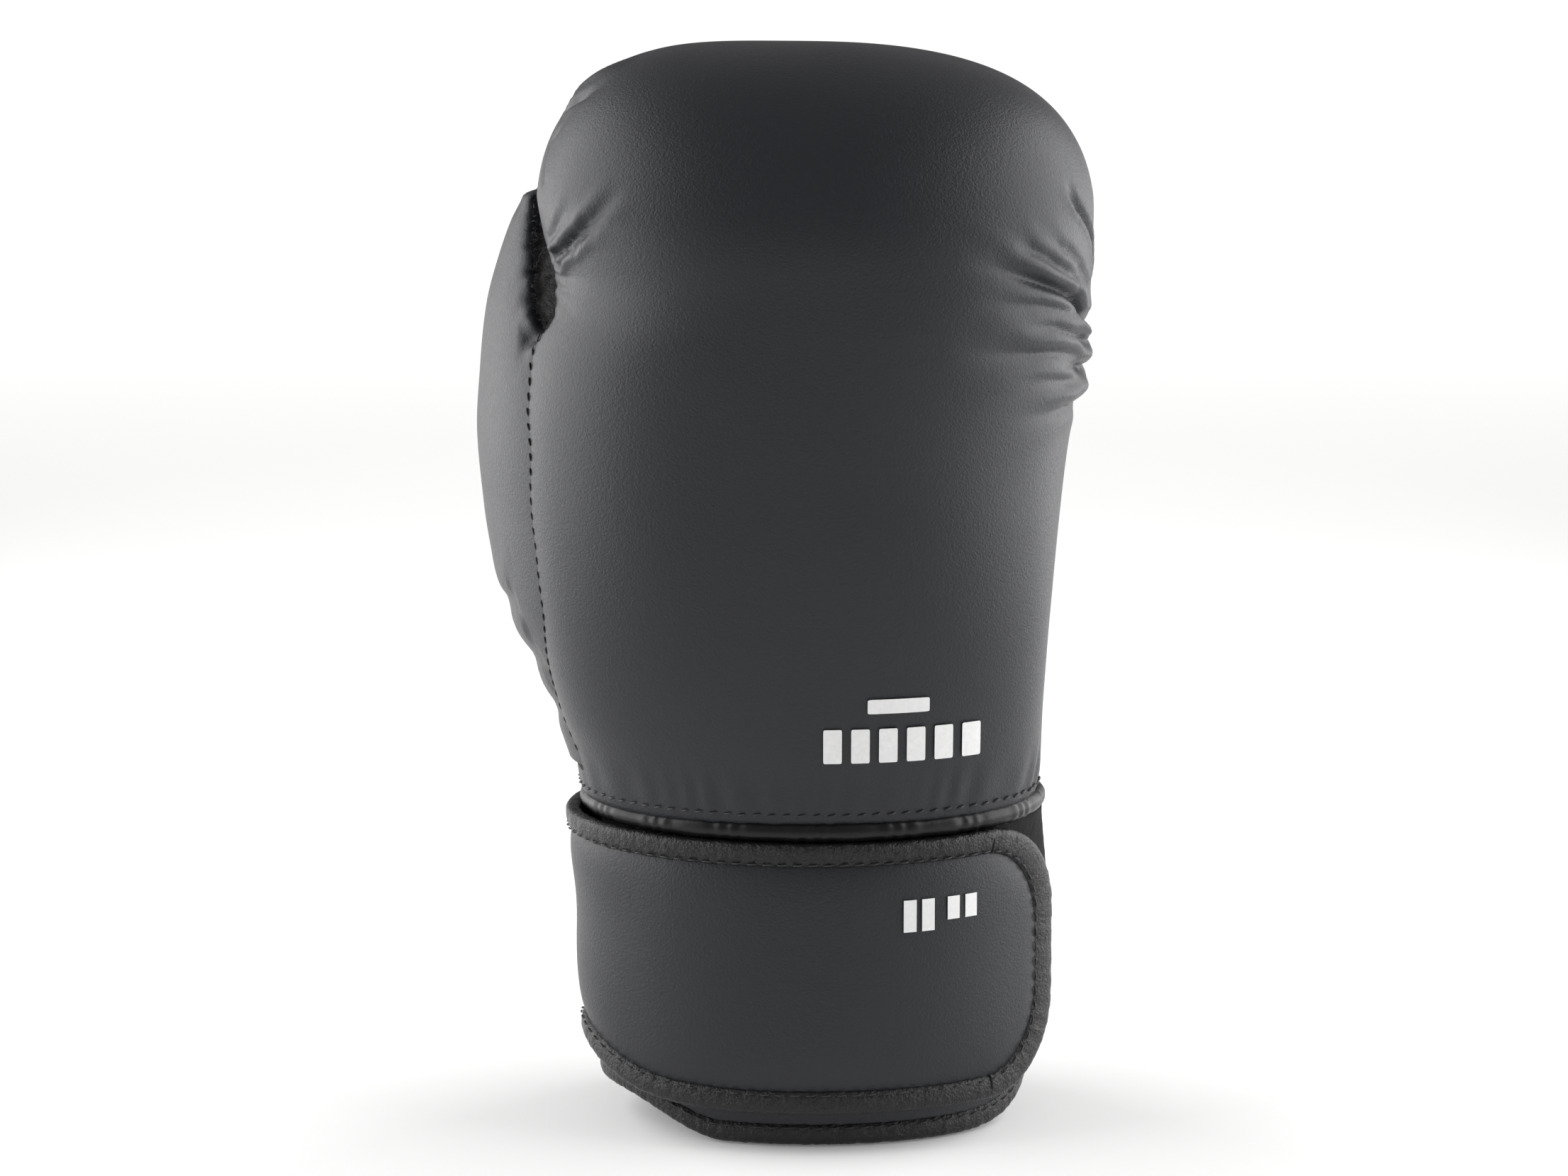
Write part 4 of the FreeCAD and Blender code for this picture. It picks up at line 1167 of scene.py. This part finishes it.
white, white_tree, white_shader, white_place = blank_material("white_print")
white_worn = wired(
    white_tree, "ShaderNodeTexNoise", {"Vector": white_place, "Scale": 900.0, "Detail": 4.0})
toned(white_tree, white_shader, white_worn.outputs["Fac"], (0.70, 0.70, 0.70), (0.86, 0.86, 0.86))
white_shader.inputs["Roughness"].default_value = 0.5


def printed_bar(name, x, z, wide, tall, corner):
    """A thin white patch on the back panel: a superellipse disc laid on the hand's front."""
    turn = np.linspace(0, 2 * math.pi, 96, endpoint=False)
    share = np.linspace(0.02, 1, 12)
    px = x + (wide / 2) * share[:, None] * signed_power(np.cos(turn), corner)[None, :]
    pz = z + (tall / 2) * share[:, None] * signed_power(np.sin(turn), corner)[None, :]
    py = front_y(px, pz) - 0.45
    piece = sewn_piece(name, np.stack([px, py, pz], axis=-1)[:, ::-1], pole=("bottom",))
    return finished(piece, white, "glove")


for number in range(6):
    printed_bar(f"print_block_{number}", 12.5 + 7.2 * number, 110.5, 4.8, 9.6, 0.12)
printed_bar("print_stripe", 29.5, 121.5, 16.0, 4.0, 0.12)


def strap_block(name, x, z, wide, tall):
    """A thin white patch on the strap's face, placed by X and height."""
    back = path_run > THUMB_FOLD
    middle = float(np.interp(x, path_x[back], path_run[back]))
    run = middle + np.linspace(-wide / 2, wide / 2, 12)
    height = z + np.linspace(-tall / 2, tall / 2, 8)
    piece = sewn_piece(name, placed(run[None, :], height[:, None], 4.78), closed=False)
    return finished(piece, white, "strap_back")


for number, (x, tall) in enumerate(((32.0, 8.6), (36.6, 8.6), (43.0, 6.2), (47.4, 6.2))):
    strap_block(f"print_strap_block_{number}", x, 63.5 + (9.0 - tall) / 2, 3.4, tall)

# =============================================================================================
# Studio.  Pale floor, white surroundings, a softbox on each side and a long lens.
# =============================================================================================

FLOOR_HALF, FLOOR_DROP = 6000.0, 0.3
floor_x, floor_y = np.meshgrid([-FLOOR_HALF, FLOOR_HALF], [-FLOOR_HALF, FLOOR_HALF])
floor = sewn_piece(
    "studio_floor", np.stack([floor_x, floor_y, np.full((2, 2), -FLOOR_DROP)], axis=-1),
    closed=False)
pale, pale_tree, pale_shader, pale_place = blank_material("pale_floor")
pale_shader.inputs["Base Color"].default_value = (0.9, 0.9, 0.9, 1)
pale_shader.inputs["Roughness"].default_value = 0.7
pale_shader.inputs["Emission Color"].default_value = (1, 1, 1, 1)
# The floor glows everywhere, a little near the glove and more with distance from it: painted light
# that whitens it where the softboxes don't reach, so that it meets the white surroundings without
# an edge.
pale_far = wired(pale_tree, "ShaderNodeSeparateXYZ", {"Vector": pale_place})
pale_round = wired(pale_tree, "ShaderNodeVectorMath", {"Vector": pale_place}, operation="LENGTH")
pale_back = wired(pale_tree, "ShaderNodeMapRange", {
    "Value": pale_far.outputs["Y"], "From Min": 0.15, "From Max": 1.3,
    "To Min": 0.10, "To Max": 0.62})
pale_ring = wired(pale_tree, "ShaderNodeMapRange", {
    "Value": pale_round.outputs["Value"], "From Min": 0.42, "From Max": 1.3,
    "To Min": 0.10, "To Max": 0.70})
pale_glow = combined(
    pale_tree, "MAXIMUM", pale_back.outputs["Result"], pale_ring.outputs["Result"])
pale_tree.links.new(pale_glow, pale_shader.inputs["Emission Strength"])
floor.data.materials.append(pale)

# A white tent: bright at both sides, dim in front, behind and above; white where it is looked at.
world = bpy.data.worlds.new("light_tent")
bpy.context.scene.world = world
bpy.context.scene.view_settings.view_transform = "Standard"
world.use_nodes = True
sky = world.node_tree
where = wired(sky, "ShaderNodeTexCoord").outputs["Generated"]
split = wired(sky, "ShaderNodeSeparateXYZ", {"Vector": where})
aside = wired(sky, "ShaderNodeMath", {0: split.outputs["X"]}, operation="ABSOLUTE")
bent = wired(sky, "ShaderNodeMath", {0: aside.outputs[0], 1: 2.6}, operation="POWER")
power = wired(
    sky, "ShaderNodeMath", {0: bent.outputs[0], 1: 0.8, 2: 0.25}, operation="MULTIPLY_ADD")
tent = sky.nodes["Background"]
sky.links.new(power.outputs[0], tent.inputs["Strength"])
tent.inputs["Color"].default_value = (1, 0.99, 0.975, 1)
for side in (-1, 1):
    lamp = bpy.data.lights.new(f"softbox_{side}", "AREA")
    lamp.shape, lamp.size, lamp.size_y, lamp.energy = "RECTANGLE", 0.80, 0.75, 5.2
    softbox = bpy.data.objects.new(f"softbox_{side}", lamp)
    softbox.location = (side * 0.46, 0.13, 0.385)
    softbox.rotation_euler = (math.pi / 2, 0, side * math.pi / 2)
    softbox.visible_camera = False
    bpy.context.scene.collection.objects.link(softbox)

seen = wired(sky, "ShaderNodeBackground", {"Color": (1, 1, 1, 1), "Strength": 1.0})
ray = wired(sky, "ShaderNodeLightPath")
mix = wired(sky, "ShaderNodeMixShader", {
    0: ray.outputs["Is Camera Ray"], 1: tent.outputs["Background"], 2: seen.outputs["Background"]})
sky.links.new(mix.outputs["Shader"], sky.nodes["World Output"].inputs["Surface"])

camera_data = bpy.data.cameras.new("camera")
camera = bpy.data.objects.new("camera", camera_data)
bpy.context.scene.collection.objects.link(camera)
bpy.context.scene.camera = camera

ELEVATION, DISTANCE, VIEW_WIDE = math.radians(12.5), 1.7, 0.4139
aim = Vector((0.0, 0.0, 0.1415))
back = Vector((0, -math.cos(ELEVATION), math.sin(ELEVATION)))
camera.location = aim + back * DISTANCE
camera.rotation_euler = (-back).to_track_quat("-Z", "Y").to_euler()
camera_data.sensor_width = 36.0
camera_data.lens = 36.0 * DISTANCE / VIEW_WIDE
camera_data.clip_start, camera_data.clip_end = 0.05, 50.0
